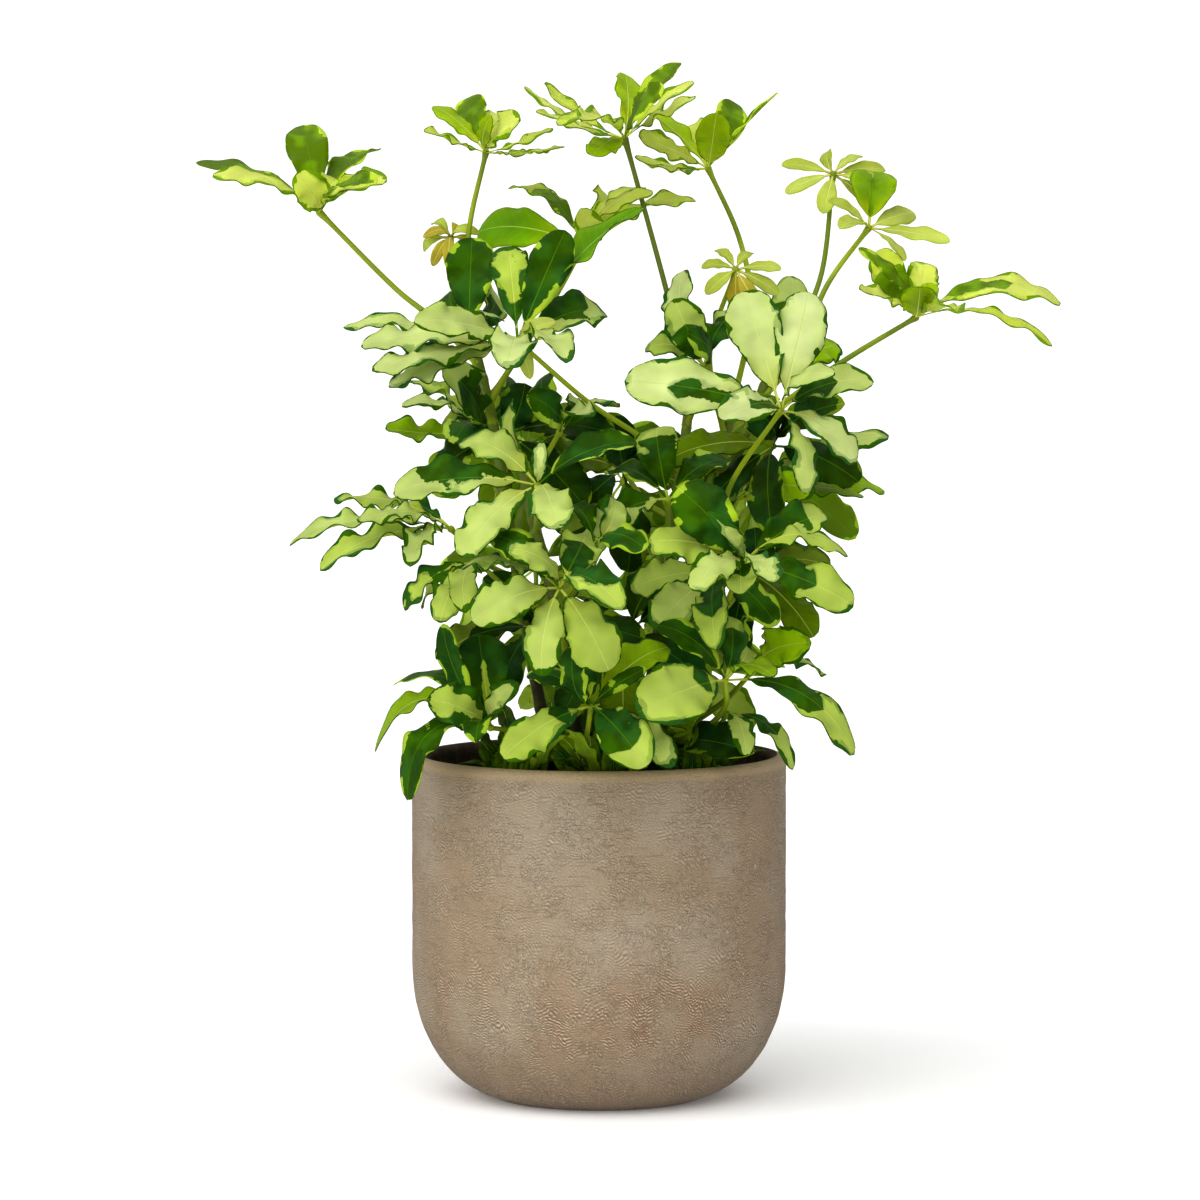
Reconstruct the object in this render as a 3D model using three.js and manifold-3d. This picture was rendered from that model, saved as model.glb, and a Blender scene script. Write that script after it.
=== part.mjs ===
// A dwarf umbrella plant with waved, variegated leaflets, standing in a rounded pot.
// Millimetres, +Z up. The origin is the middle of the pot's flat foot, and the plant's front looks along -Y.
import * as THREE from 'three';
import { mergeVertices } from 'three/addons/utils/BufferGeometryUtils.js';
import Module from 'manifold-3d';

const wasm = await Module();
wasm.setup();
const { Manifold, Mesh: SolidMesh } = wasm;

// Driving dimensions of the pot and its soil
const POT_RADIUS = 95;
const POT_HEIGHT = 174;
const POT_WALL = 9;
const POT_FLOOR = 12;
const FOOT_RADIUS = 54;
const BELLY_HEIGHT = 66;
const BELLY_REACH = 48;
const BELLY_STEPS = 5;
const ROUND_SIDES = 28;
const LIP_STEPS = 4;
const SOIL_TOP = 150;
const FIT_GAP = 0.3;

// Driving dimensions of the plant
const STEM_RADIUS = 3.2;
const STEM_SIDES = 6;
const STEM_STEPS = 8;
const PETIOLE_RADIUS = 1.3;
const PETIOLE_SIDES = 4;
const PETIOLE_STEPS = 4;
const HUB_RADIUS = 4.4;
const BLADE_THICKNESS = 0.8;
const STALK_SHARE = 0.15;
const STALK_WIDTH = 2;
const STALK_DEPTH = 0.8;
const USUAL_BOW = 7;
const BOW_LIMIT = 0.4;
const TIP_FULLNESS = 1.5;
const END_ROUNDNESS = 0.45;
const WAVE_HEIGHT = 2.4;
const WAVES = 2.5;

// Shares of a blade's length at which its section is set, on full leaflets, on small ones and past the stalks
const ROWS = [STALK_SHARE, 0.5, 0.88];
const SMALL_ROWS = [0.4, 0.82];
const SMALL_WIDTH = 17;
const OUTER_ROWS = [0.5, 0.88];
const OUTER_START = 0.16;

// Leaf places are given as they stand in a front elevation seen from this distance and height
const EYE_DISTANCE = 2400;
const EYE_HEIGHT = 410;

const FRONT = [0, -0.94, 0.34];
const BACK = [0, 0.94, 0.34];
const UPWARD = [0, 0, 1];

// Each stem as the points of its centre line, from its foot in the soil to its top
const STEMS = {
  stem_left: [
    [-18, 8, 112], [-22, 10, 150], [-34, 14, 220], [-46, 12, 290], [-54, 8, 342], [-63, 4, 380],
  ],
  stem_front: [
    [-6, -22, 112], [-8, -24, 150], [-14, -34, 210], [-26, -42, 270], [-34, -46, 300], [-38, -48, 324],
  ],
  stem_middle: [
    [16, 4, 112], [18, 4, 150], [28, 8, 220], [36, 10, 280], [43, 10, 327], [47, 10, 364],
  ],
  stem_back: [
    [32, 26, 112], [36, 28, 150], [46, 34, 220], [54, 34, 280], [62, 30, 317], [68, 28, 348],
  ],
  stem_right: [
    [34, -16, 112], [38, -18, 150], [48, -20, 210], [57, -16, 270], [66, -10, 315], [84, -6, 362],
  ],
};

// Each compound leaf: its hub, the stem that carries it and the height it leaves that stem, the points its
// petiole passes, and its leaflets as tip offsets to the right, back and up, blade width, and turn of the
// blade's face from the front towards the sky in degrees. A leaflet may end with the height of its arch.
const LEAVES = [
  { name: 'leaf_front_middle', hub: [-20, -130, 258], stem: 'stem_front', height: 226,
    leaflets: [
      [-49, 10, 13, 20, 55], [-24, -30, 21, 16, 30], [-34, 20, 29, 18, 20], [13, 30, 26, 22, 10],
      [32, -40, -10, 20, 25, 12], [25, -25, -41, 26, 5], [-10, -20, -42, 20, 15],
      [-44, -22, -16, 24, 15],
    ] },
  { name: 'leaf_front_upper', hub: [-31, -100, 310], stem: 'stem_front', height: 290,
    leaflets: [
      [-73, -10, -3, 26, 30], [-39, -30, -35, 22, 20], [10, -50, -22, 22, 10], [50, 10, 22, 20, 35],
      [-38, 20, 24, 22, 25], [-13, 30, 42, 16, 55], [2, -10, 22, 8, 0],
    ] },
  { name: 'leaf_broad_right', hub: [92, -80, 348], stem: 'stem_right', height: 282,
    via: [[67, -48, 311]],
    leaflets: [
      [-79, -10, 15, 28, 5], [-19, 25, 60, 27, 5], [14, 20, 60, 26, 5], [25, -30, 20, 16, 50],
      [46, -10, 16, 19, 25], [38, -15, -25, 20, 30], [12, -25, -42, 18, 45], [-30, -50, -3, 20, 10],
    ] },
  { name: 'leaf_front_right', hub: [73, -110, 271], stem: 'stem_right', height: 226,
    leaflets: [
      [-33, -6, 38, 28, 0, 10], [-15, -30, 24, 8, 0], [-48, -20, 10, 22, 20], [-24, -45, -10, 18, 20],
      [0, -55, -18, 20, 10], [56, -10, -22, 22, 10], [41, 20, 25, 20, 10], [52, 10, 6, 16, 50, 12],
      [14, -46, -8, 16, 20],
    ] },
  { name: 'leaf_front_low', hub: [-4, -110, 198], stem: 'stem_front', height: 172,
    leaflets: [
      [-32, 10, 17, 14, 30], [-24, 30, 23, 14, 50], [-9, -20, 30, 16, 50], [-2, 35, 26, 14, 20],
      [14, 30, 21, 14, 20], [39, 10, 31, 20, 20], [28, 0, 20, 8, 0], [28, -30, -31, 25, 5],
      [43, -8, -29, 18, 15], [-45, -25, -26, 21, 15],
    ] },
  { name: 'leaf_low_right', hub: [64, -96, 211], stem: 'stem_right', height: 178,
    via: [[64, -70, 200]],
    leaflets: [
      [-43, -42, -15, 32, 0], [-33, -5, 29, 18, 30], [-17, 15, 23, 16, 20], [2, 20, 34, 16, 20],
      [9, 40, 19, 14, 40], [25, -36, 2, 16, 50], [66, -10, -37, 19, 30, 18],
    ] },
  { name: 'leaf_low_left', hub: [-55, -66, 187], stem: 'stem_left', height: 166,
    via: [[-42, -40, 186]],
    leaflets: [
      [-6, 15, 47, 26, 0], [-31, -20, 15, 23, 5], [-49, 20, 22, 17, 50, 15], [-59, 2, -11, 20, 50, 22],
      [-43, -16, -36, 22, 40, 22], [14, -10, 23, 14, 30], [-7, -30, -6, 14, 30], [-24, 20, 54, 14, 40],
    ] },
  { name: 'leaf_broad_left', hub: [-41, -66, 383], stem: 'stem_middle', height: 318,
    via: [[-5, -34, 352], [22, -8, 334]],
    leaflets: [
      [-5, 30, 49, 20, 0], [24, 8, 56, 21, 5], [43, 30, 16, 24, 15], [19, -10, 10, 8, 0],
      [25, -45, -7, 18, 40], [-6, -52, -14, 22, 0], [6, -28, -18, 8, 0], [63, 16, 68, 20, 50],
      [-50, -35, 12, 20, 20, 3], [-79, -10, 0, 20, 35, 4], [-88, 15, 10, 16, 45, 3],
      [-74, -30, -13, 18, 35, 2], [-66, -14, -22, 18, 40, 2],
    ] },
  { name: 'leaf_far_left', hub: [-141, 10, 448], stem: 'stem_left', height: 372,
    via: [[-101, 8, 408], [-86, 7, 396]],
    leaflets: [
      [-62, -4, 25, 20, 55], [-53, -30, 19, 19, 50], [-10, -18, 19, 19, 5], [-8, 34, 44, 22, 0],
      [5, -22, 19, 17, 5], [28, 22, 32, 20, 40], [29, -14, 24, 18, 40], [23, -30, 25, 14, 30],
      [10, 50, 22, 18, 30],
    ] },
  { name: 'leaf_top_left', hub: [-57, 20, 478], stem: 'stem_left', height: 377,
    via: [[-66, 16, 434]],
    leaflets: [
      [-30, -30, 12, 12, 50, -1], [-26, 10, 24, 14, 40, 2], [-9, 30, 28, 17, 15, 4],
      [7, 48, 21, 16, 20, 3], [15, -40, 17, 18, 15, 3], [2, -20, 17, 10, 20, 3],
      [39, -25, 4, 13, 60, -2], [33, 15, 14, 13, 55, -2], [28, -45, 1, 12, 50, -1],
    ] },
  { name: 'leaf_top_middle', hub: [13, 4, 485], stem: 'stem_middle', height: 361,
    via: [[31, 8, 420], [42, 9, 378]],
    leaflets: [
      [-50, 10, 27, 13, 60, -4], [-40, 35, 28, 12, 50, -4], [-44, -25, 15, 12, 50, -2],
      [-33, -45, 9, 13, 50], [-21, -50, 9, 17, 20, 4], [0, 40, 32, 15, 30, 3], [27, 30, 38, 16, 40, 3],
      [34, -10, 29, 13, 50, 2], [35, -35, 20, 14, 45, 2], [18, -45, 25, 18, 30, 4],
      [-16, -38, -8, 16, 20, 3],
    ] },
  { name: 'leaf_top_right', hub: [55, 40, 470], stem: 'stem_back', height: 345,
    via: [[71, 38, 434], [77, 34, 400]],
    leaflets: [
      [-35, -30, 16, 18, 30, 1], [-37, 2, 6, 12, 50, -2], [-29, 30, 28, 14, 40, 2],
      [-30, -45, 3, 11, 50, -2], [-8, 45, 24, 16, 20, 3], [4, -36, 27, 18, 10, 3],
      [13, 35, 33, 18, 20, 5], [35, 10, 38, 11, 75, 1],
    ] },
  { name: 'leaf_far_right', hub: [160, -20, 395], stem: 'stem_right', height: 338,
    via: [[122, -12, 372]],
    leaflets: [
      [-20, 14, 34, 18, 20, 5], [-29, -6, 35, 10, 40, 6], [-28, -25, 15, 13, 50, 2],
      [4, 20, 29, 17, 10, 3], [2, -38, 16, 18, 15, 3], [13, -30, 15, 14, 40, 3],
      [73, 10, 9, 22, 40, 13], [17, -50, 8, 13, 40, 3], [69, -20, -13, 14, 55, 10],
    ] },
  { name: 'leaf_upper_middle', hub: [-8, 24, 431], stem: 'stem_left', height: 352,
    via: [[-20, 22, 409]],
    leaflets: [
      [-53, 20, 7, 24, 5, 12], [-36, 35, 31, 15, 40, 9], [10, 40, 28, 16, 40], [30, 20, 31, 14, 50],
      [33, -15, 28, 14, 50], [56, -10, 24, 16, 50], [0, -40, 17, 16, 40],
    ] },
  { name: 'leaf_upper_right', hub: [136, 24, 440], stem: 'stem_right', height: 350,
    via: [[115, 4, 411], [100, -8, 376]],
    leaflets: [
      [-20, -10, 14, 9, 40, 2], [-14, -30, 1, 11, 30, 3], [2, 20, 29, 24, 5, 4], [23, 16, 8, 13, 15, 2],
      [41, -10, -6, 11, 30, 1], [18, -30, -16, 9, 50, 2],
    ] },
  { name: 'young_leaf_right', hub: [118, 46, 467], stem: 'stem_right', height: 360,
    via: [[112, 40, 416], [98, 22, 384]],
    leaflets: [
      [-26, 4, 5, 8, 20, 2], [-24, -8, -9, 8, 20, 2], [-5, -14, -19, 10, 0, 2], [-3, 12, 12, 8, 40, 2],
      [14, 10, 10, 8, 40, 2], [27, 2, 3, 9, 20, 2], [28, -6, -7, 9, 20, 2], [22, -10, -17, 8, 10, 2],
    ] },
  { name: 'young_leaf_middle', hub: [69, 6, 419], stem: 'stem_back', height: 332,
    via: [[56, 14, 377]],
    leaflets: [
      [-17, -4, 2, 7, 30, 2], [-10, 8, 10, 7, 30, 2], [8, 8, 9, 7, 30, 2], [23, 2, 1, 7, 20, 2],
      [-15, -8, -12, 8, 10, 2], [0, -10, -19, 9, 0, 2], [11, -8, -20, 9, 0, 2], [22, -6, -12, 8, 10, 2],
    ] },
  { name: 'young_leaf_left', hub: [-75, 35, 435], stem: 'stem_left', height: 364,
    leaflets: [
      [-9, 6, 7, 6, 20], [3, 6, 7, 6, 20], [-13, 0, 1, 6, 20], [-14, -4, -6, 6, 10],
      [-9, -6, -14, 6, 0], [-1, -8, -15, 6, 0], [15, 2, 2, 6, 20], [11, -6, -6, 6, 20],
    ] },
  { name: 'leaf_dark_left', hub: [-66, -16, 384], stem: 'stem_left', height: 342,
    leaflets: [
      [2, 20, 51, 25, 0], [12, 40, 25, 18, 50], [17, 34, 12, 16, 50], [-8, 45, 26, 16, 30],
    ] },
  { name: 'leaf_left_behind', hub: [-61, 16, 337], stem: 'stem_left', height: 296,
    leaflets: [
      [-37, 20, 25, 16, 50], [-37, -20, 16, 16, 60], [-47, -10, 2, 18, 40, -2], [-12, -40, -4, 20, 20],
      [-10, -34, 34, 23, 10], [20, 45, 25, 18, 30],
    ] },
  { name: 'leaf_left_ruffled', hub: [-75, -36, 288], stem: 'stem_left', height: 262,
    leaflets: [
      [-82, 0, -4, 18, 50], [-66, -20, -18, 18, 40], [-59, 20, 15, 18, 50], [-47, -35, 4, 16, 50],
      [-34, 35, 11, 16, 40], [-21, -35, -18, 16, 40],
    ] },
  { name: 'leaf_left_drooping', hub: [-61, -60, 271], stem: 'stem_front', height: 246,
    leaflets: [
      [-38, -10, -23, 16, 40], [-29, 20, -22, 16, 50], [-20, -35, -29, 18, 20], [-8, -45, -22, 16, 30],
    ] },
  { name: 'leaf_inner_right', hub: [35, -60, 303], stem: 'stem_middle', height: 268,
    leaflets: [
      [-38, -20, -17, 20, 20], [-6, 20, 36, 22, 10], [30, 20, 20, 18, 30], [20, -40, -20, 18, 30],
      [-30, 30, 15, 18, 30],
    ] },
  { name: 'leaf_inner_middle', hub: [-2, -90, 280], stem: 'stem_front', height: 252,
    leaflets: [
      [25, -30, -1, 18, 30], [-15, 30, 20, 16, 30], [10, 35, 25, 16, 30],
    ] },
  { name: 'leaf_inner_low', hub: [60, -60, 264], stem: 'stem_middle', height: 216,
    leaflets: [
      [-44, -10, -7, 20, 20], [-32, -20, -26, 24, 10], [-2, -20, -33, 18, 20], [30, -20, -25, 18, 20],
    ] },
  { name: 'leaf_dark_right', hub: [53, -20, 370], stem: 'stem_middle', height: 340,
    leaflets: [
      [-15, -10, 34, 21, 10], [-12, 15, 49, 18, 40], [-29, -20, 10, 18, 30], [-8, -30, 17, 16, 30],
      [20, 20, 30, 18, 30],
    ] },
  { name: 'leaf_behind_right', hub: [90, 54, 364], stem: 'stem_back', height: 336,
    leaflets: [
      [8, 20, 52, 20, 10], [-7, -20, 20, 16, 30], [31, 20, 17, 20, 10], [30, -6, -6, 16, 40],
    ] },
  { name: 'leaf_right_ruffled', hub: [69, -20, 302], stem: 'stem_right', height: 262,
    leaflets: [
      [39, -20, 7, 20, 20], [65, 0, 2, 16, 50], [77, 20, 7, 16, 30], [77, 10, 36, 16, 20],
      [25, 30, 12, 18, 30],
    ] },
  { name: 'leaf_inner_upper', hub: [-20, -30, 337], stem: 'stem_front', height: 318,
    leaflets: [
      [-15, -20, 19, 18, 20], [8, 10, 18, 14, 30], [-8, 30, 29, 16, 30], [18, -20, 8, 14, 50],
      [29, 20, 15, 14, 40],
    ] },
  { name: 'leaf_low_right_behind', hub: [81, -40, 219], stem: 'stem_right', height: 190,
    leaflets: [
      [24, -20, 12, 22, 10], [7, 20, 19, 16, 30], [-10, 45, 20, 16, 30], [32, 40, -5, 16, 40],
    ] },
  { name: 'leaf_rim_right', hub: [65, -66, 194], stem: 'stem_right', height: 164,
    leaflets: [
      [10, -30, -20, 13, 20], [34, -18, -27, 12, 40, 10],
    ] },
];

// The leaves inside and at the back of the crown, drawn as even fans: hub, stem, height on the stem, and the
// direction of the first leaflet in degrees
const MIDDLE_LEAVES = [
  { hub: [-46, 24, 336], stem: 'stem_left', height: 310, start: 20 },
  { hub: [12, 40, 318], stem: 'stem_middle', height: 292, start: 40 },
  { hub: [-32, -8, 238], stem: 'stem_left', height: 212, start: 5 },
  { hub: [16, -34, 236], stem: 'stem_front', height: 204, start: 30 },
  { hub: [76, 18, 266], stem: 'stem_right', height: 240, start: 20 },
  { hub: [88, -8, 330], stem: 'stem_right', height: 306, start: 50 },
  { hub: [34, -30, 178], stem: 'stem_middle', height: 162, start: 10 },
];
const BACK_LEAVES = [
  { hub: [-36, 80, 330], stem: 'stem_left', height: 272, start: 20 },
  { hub: [-32, 106, 268], stem: 'stem_left', height: 206, start: 50 },
  { hub: [12, 100, 312], stem: 'stem_middle', height: 262, start: 10 },
  { hub: [48, 112, 280], stem: 'stem_back', height: 230, start: 35 },
  { hub: [84, 76, 314], stem: 'stem_back', height: 262, start: 35 },
  { hub: [-36, 70, 220], stem: 'stem_left', height: 176, start: 40 },
  { hub: [40, 74, 214], stem: 'stem_back', height: 172, start: 25 },
  { hub: [8, 108, 210], stem: 'stem_middle', height: 168, start: 0 },
];
const FAN_COUNT = 6;
const FAN_REACH = 58;
const FAN_WIDTH = 22;
const FAN_DROOP = 10;
const FAN_WIDTH_SHARE = 0.85;
const FAN_HEIGHT_SHARE = 0.65;

// Low shoots that come up between the stems: foot, number of small leaves and first direction in degrees
const SHOOTS = [
  { name: 'shoots_front_left', foot: [-38, -56], count: 9, start: 0 },
  { name: 'shoots_front', foot: [4, -66], count: 9, start: 25 },
  { name: 'shoots_front_right', foot: [48, -52], count: 9, start: 10 },
  { name: 'shoots_back', foot: [-8, 44], count: 9, start: 30 },
];
const SHOOT_REACH = 27;
const SHOOT_WIDTH = 9;
const SHOOT_RISE = 28;
const SHOOT_BOW = 5;
const SHOOT_RADIUS = 2;
const SHOOT_ROOT = 14;
const SHOOT_CROWN = 5;

// Ways a leaflet gives way to a neighbour: its tip moved to the back, swung about the hub, or drawn in
const DEPTH_SHIFTS = [0, -7, 7, -14, 14, -21, 21, -30, 30, -40, 40];
const SWINGS = [0, 7, -7, 14, -14, 22, -22];
const LENGTHS = [1, 0.8, 0.62];
const GUARDS = [1.2, 0.5];

const MATERIALS = {
  pot: new THREE.MeshStandardMaterial({ color: '#9c8a76', roughness: 0.62 }),
  soil: new THREE.MeshStandardMaterial({ color: '#3a2a1e', roughness: 1 }),
  stem: new THREE.MeshStandardMaterial({ color: '#5d6330', roughness: 0.7 }),
  leaf: new THREE.MeshStandardMaterial({ color: '#9fbf4a', roughness: 0.45 }),
  young: new THREE.MeshStandardMaterial({ color: '#c7c545', roughness: 0.45 }),
  shoot: new THREE.MeshStandardMaterial({ color: '#3f6526', roughness: 0.6 }),
};

const plant = new THREE.Group();
const radians = THREE.MathUtils.degToRad;

// A repeatable number from 0 to 1 for item i and purpose k
function chance(i, k) {
  const value = Math.sin(i * 12.9898 + k * 78.233) * 43758.5453;
  return value - Math.floor(value);
}

// A point of the front elevation, carried to its depth along the line of sight
function inView(x, y, z) {
  const spread = 1 + y / EYE_DISTANCE;
  return new THREE.Vector3(x * spread, y, EYE_HEIGHT + (z - EYE_HEIGHT) * spread);
}

function solidFromArrays(positions, triangles) {
  return new Manifold(new SolidMesh({
    numProp: 3,
    vertProperties: new Float32Array(positions),
    triVerts: new Uint32Array(triangles),
  }));
}

function solidFromGeometry(geometry) {
  geometry.deleteAttribute('normal');
  geometry.deleteAttribute('uv');
  const merged = mergeVertices(geometry, 1e-4);
  return solidFromArrays(merged.attributes.position.array, merged.index.array);
}

function addMesh(name, solid, material) {
  const { vertProperties, triVerts } = solid.getMesh();
  const geometry = new THREE.BufferGeometry();
  geometry.setAttribute('position', new THREE.BufferAttribute(vertProperties, 3));
  geometry.setIndex(new THREE.BufferAttribute(triVerts, 1));
  geometry.computeVertexNormals();
  const mesh = new THREE.Mesh(geometry, material);
  mesh.name = name;
  plant.add(mesh);
}

// The body of a solid that holds most of it, without scraps that a cut left over
function mainBody(solid) {
  return solid.decompose().sort((a, b) => b.volume() - a.volume())[0];
}

function boxesMeet(a, b) {
  return [0, 1, 2].every((axis) => a.min[axis] < b.max[axis] && b.min[axis] < a.max[axis]);
}

// Everything placed so far, each solid with its box and the leaf it belongs to
const placed = [];
// The outer part of each blade placed so far, which its sisters on the same leaf keep clear of too
const outerBlades = [];

function place(solid, owner, list = placed) {
  list.push({ solid, owner, box: solid.boundingBox() });
}

function meets(solid, box, other) {
  return boxesMeet(box, other.box) && !solid.intersect(other.solid).isEmpty();
}

function isClear(solid, owner) {
  const box = solid.boundingBox();
  return !placed.some((other) => other.owner !== owner && meets(solid, box, other));
}

function isClearOfSisters(solid, owner) {
  const box = solid.boundingBox();
  return !outerBlades.some((other) => other.owner === owner && meets(solid, box, other));
}

// A rod of even thickness along a smooth curve through the given points
function rod(points, radius, sides, steps) {
  const section = new THREE.Shape();
  for (let i = 0; i < sides; i += 1) {
    const angle = (i * 2 * Math.PI) / sides;
    const corner = [radius * Math.cos(angle), radius * Math.sin(angle)];
    if (i === 0) section.moveTo(...corner);
    else section.lineTo(...corner);
  }
  const curve = new THREE.CatmullRomCurve3(points, false, 'centripetal');
  const geometry = new THREE.ExtrudeGeometry(section, { steps, extrudePath: curve, bevelEnabled: false });
  return solidFromGeometry(geometry);
}

// The bellied wall of the pot from its foot to its rim, drawn in by the given wall thickness
function bellyProfile(inset, floor, top) {
  const centre = POT_RADIUS - BELLY_REACH;
  const reach = BELLY_REACH - inset;
  const drop = BELLY_HEIGHT - floor;
  const foot = Math.acos(Math.min(1, (FOOT_RADIUS - centre) / BELLY_REACH));
  const points = [new THREE.Vector2(0, floor)];
  for (let i = 0; i <= BELLY_STEPS; i += 1) {
    const angle = foot * (1 - i / BELLY_STEPS);
    const height = i === 0 ? floor : BELLY_HEIGHT - drop * Math.sin(angle);
    points.push(new THREE.Vector2(centre + reach * Math.cos(angle), height));
  }
  points.push(new THREE.Vector2(centre + reach, top));
  return points;
}

// A profile of radii and heights turned round the pot's upright axis
function turned(profile) {
  return solidFromGeometry(new THREE.LatheGeometry(profile, ROUND_SIDES).rotateX(Math.PI / 2));
}

function makePot() {
  const lip = POT_WALL / 2;
  const outside = bellyProfile(0, 0, POT_HEIGHT - lip);
  const inside = bellyProfile(POT_WALL, POT_FLOOR, POT_HEIGHT - lip);
  const rim = [];
  for (let i = 1; i < LIP_STEPS; i += 1) {
    const angle = (Math.PI * i) / LIP_STEPS;
    const outward = POT_RADIUS - lip + lip * Math.cos(angle);
    rim.push(new THREE.Vector2(outward, POT_HEIGHT - lip + lip * Math.sin(angle)));
  }
  return turned([...outside, ...rim, ...inside.reverse()]);
}

function makeSoil() {
  const profile = bellyProfile(POT_WALL + FIT_GAP, POT_FLOOR + FIT_GAP, SOIL_TOP);
  profile.push(new THREE.Vector2(0, SOIL_TOP));
  return turned(profile);
}

// Half the blade's width at a share of its length: a thin stalk, then a blade widest past its middle
function halfWidth(share, width) {
  if (share <= STALK_SHARE) return STALK_WIDTH / 2;
  const along = (share - STALK_SHARE) / (1 - STALK_SHARE);
  return Math.max(STALK_WIDTH / 2, (width / 2) * Math.sin(Math.PI * along ** TIP_FULLNESS) ** END_ROUNDNESS);
}

// How far the left or right edge of a blade stands out of its face at a share of its length
function edgeWave(share, width, seed, side) {
  const along = Math.max(0, (share - STALK_SHARE) / (1 - STALK_SHARE));
  const phase = 2 * Math.PI * chance(seed, side > 0 ? 1 : 2);
  const height = WAVE_HEIGHT * (width / 20) * (0.6 + 0.8 * chance(seed, 3));
  return height * Math.sin(Math.PI * along) * Math.sin(2 * Math.PI * WAVES * along + phase);
}

// The three directions of a blade: along it, out of its face, and to its right
function bladeAxes(hub, tip, facing, turn) {
  const along = tip.clone().sub(hub).normalize();
  const front = new THREE.Vector3(...facing);
  front.addScaledVector(along, -front.dot(along)).normalize();
  const side = along.clone().cross(front);
  const outward = Math.sign(along.x) || 1;
  if (side.z + 0.5 * outward * side.x < 0) side.negate();
  const face = front.multiplyScalar(Math.cos(radians(turn))).addScaledVector(side, Math.sin(radians(turn)));
  return { along, face, right: along.clone().cross(face) };
}

// One leaflet as a thin arched slab with waved edges, pointed at its root. A guard makes it thicker and
// wider, to test its clearance, and start leaves out the part of it nearest the hub.
function makeBlade(hub, tip, { facing, turn, width, bow, seed, rows = ROWS, start = 0 }, guard = 0) {
  const { along, face, right } = bladeAxes(hub, tip, facing, turn);
  const half = BLADE_THICKNESS / 2 + guard;
  const chord = tip.clone().sub(hub);
  const rise = (share) => bow * 4 * share * (1 - share);
  const arch = (share) => hub.clone().addScaledVector(chord, share).addScaledVector(face, rise(share));
  const positions = [];
  const put = (point, lift) => positions.push(...point.clone().addScaledVector(face, lift).toArray());
  for (const share of rows) {
    const reach = halfWidth(share, width) + guard;
    for (const side of [-1, 1]) {
      const edge = arch(share).addScaledVector(right, side * reach);
      const lift = edgeWave(share, width, seed, side);
      const depth = share <= STALK_SHARE ? Math.max(half, reach * STALK_DEPTH) : half;
      put(edge, lift + depth);
      put(edge, lift - depth);
    }
  }
  const end = tip.clone().addScaledVector(along, guard);
  put(end, half);
  put(end, -half);
  put(arch(start), 0);
  const last = rows.length - 1;
  const a = last * 4;
  const t = a + 4;
  const root = t + 2;
  const triangles = [root, 2, 0, root, 1, 3, root, 0, 1, root, 3, 2];
  for (let row = 0; row < last; row += 1) {
    const c = row * 4;
    const d = c + 4;
    triangles.push(c, c + 2, d + 2, c, d + 2, d);
    triangles.push(c + 1, d + 3, c + 3, c + 1, d + 1, d + 3);
    triangles.push(c, d, d + 1, c, d + 1, c + 1);
    triangles.push(c + 2, c + 3, d + 3, c + 2, d + 3, d + 2);
  }
  triangles.push(a, a + 2, t, a + 1, t + 1, a + 3);
  triangles.push(a, t, t + 1, a, t + 1, a + 1);
  triangles.push(a + 2, a + 3, t + 1, a + 2, t + 1, t);
  return solidFromArrays(positions, triangles);
}

// The tip of a leaflet after it has given way: swung in the front view, drawn in, then moved to the back
function bentTip(hub, tip, shift, swing, length) {
  const offset = tip.clone().sub(hub).applyAxisAngle(new THREE.Vector3(0, 1, 0), radians(swing));
  return hub.clone().addScaledVector(offset, length).add(new THREE.Vector3(0, shift, 0));
}

// The first way of bending a leaflet that keeps it off everything placed before it
function fitBlade(owner, hub, tip, shape) {
  for (const guard of GUARDS) {
    for (const length of LENGTHS) {
      for (const swing of SWINGS) {
        for (const shift of DEPTH_SHIFTS) {
          const end = bentTip(hub, tip, shift, swing, length);
          const outer = makeBlade(hub, end, { ...shape, rows: OUTER_ROWS, start: OUTER_START }, guard);
          if (isClearOfSisters(outer, owner) && isClear(makeBlade(hub, end, shape, guard), owner)) {
            place(outer, owner, outerBlades);
            const blade = makeBlade(hub, end, shape);
            place(blade, owner);
            return blade;
          }
        }
      }
    }
  }
  return null;
}

function stemAt(name, height) {
  const points = STEMS[name].map((p) => new THREE.Vector3(...p));
  const curve = new THREE.CatmullRomCurve3(points, false, 'centripetal');
  const samples = curve.getPoints(120);
  return samples.reduce((best, p) => (Math.abs(p.z - height) < Math.abs(best.z - height) ? p : best));
}

// A petiole from the stem to the hub, bowed to the front or back where something stands in its way
function makePetiole(leaf, hub) {
  const seat = stemAt(leaf.stem, leaf.height);
  const via = (leaf.via ?? []).map((p) => inView(...p));
  const ends = [seat, ...via.reverse(), hub];
  if (via.length === 0) ends.splice(1, 0, seat.clone().lerp(hub, 0.5).add(new THREE.Vector3(0, 0, -4)));
  for (const shift of DEPTH_SHIFTS) {
    const points = ends.map((p, i) => {
      const inner = i > 0 && i < ends.length - 1;
      return inner ? p.clone().add(new THREE.Vector3(0, shift, 0)) : p;
    });
    const guard = rod(points, PETIOLE_RADIUS + 0.5, PETIOLE_SIDES, PETIOLE_STEPS);
    if (isClear(guard, leaf.stem)) return rod(points, PETIOLE_RADIUS, PETIOLE_SIDES, PETIOLE_STEPS);
  }
  console.warn(`${leaf.name}: petiole crosses something`);
  return rod(ends, PETIOLE_RADIUS, PETIOLE_SIDES, PETIOLE_STEPS);
}

function hubKnob(hub, radius) {
  const geometry = new THREE.OctahedronGeometry(radius, 0);
  geometry.translate(hub.x, hub.y, hub.z);
  return solidFromGeometry(geometry);
}

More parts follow.
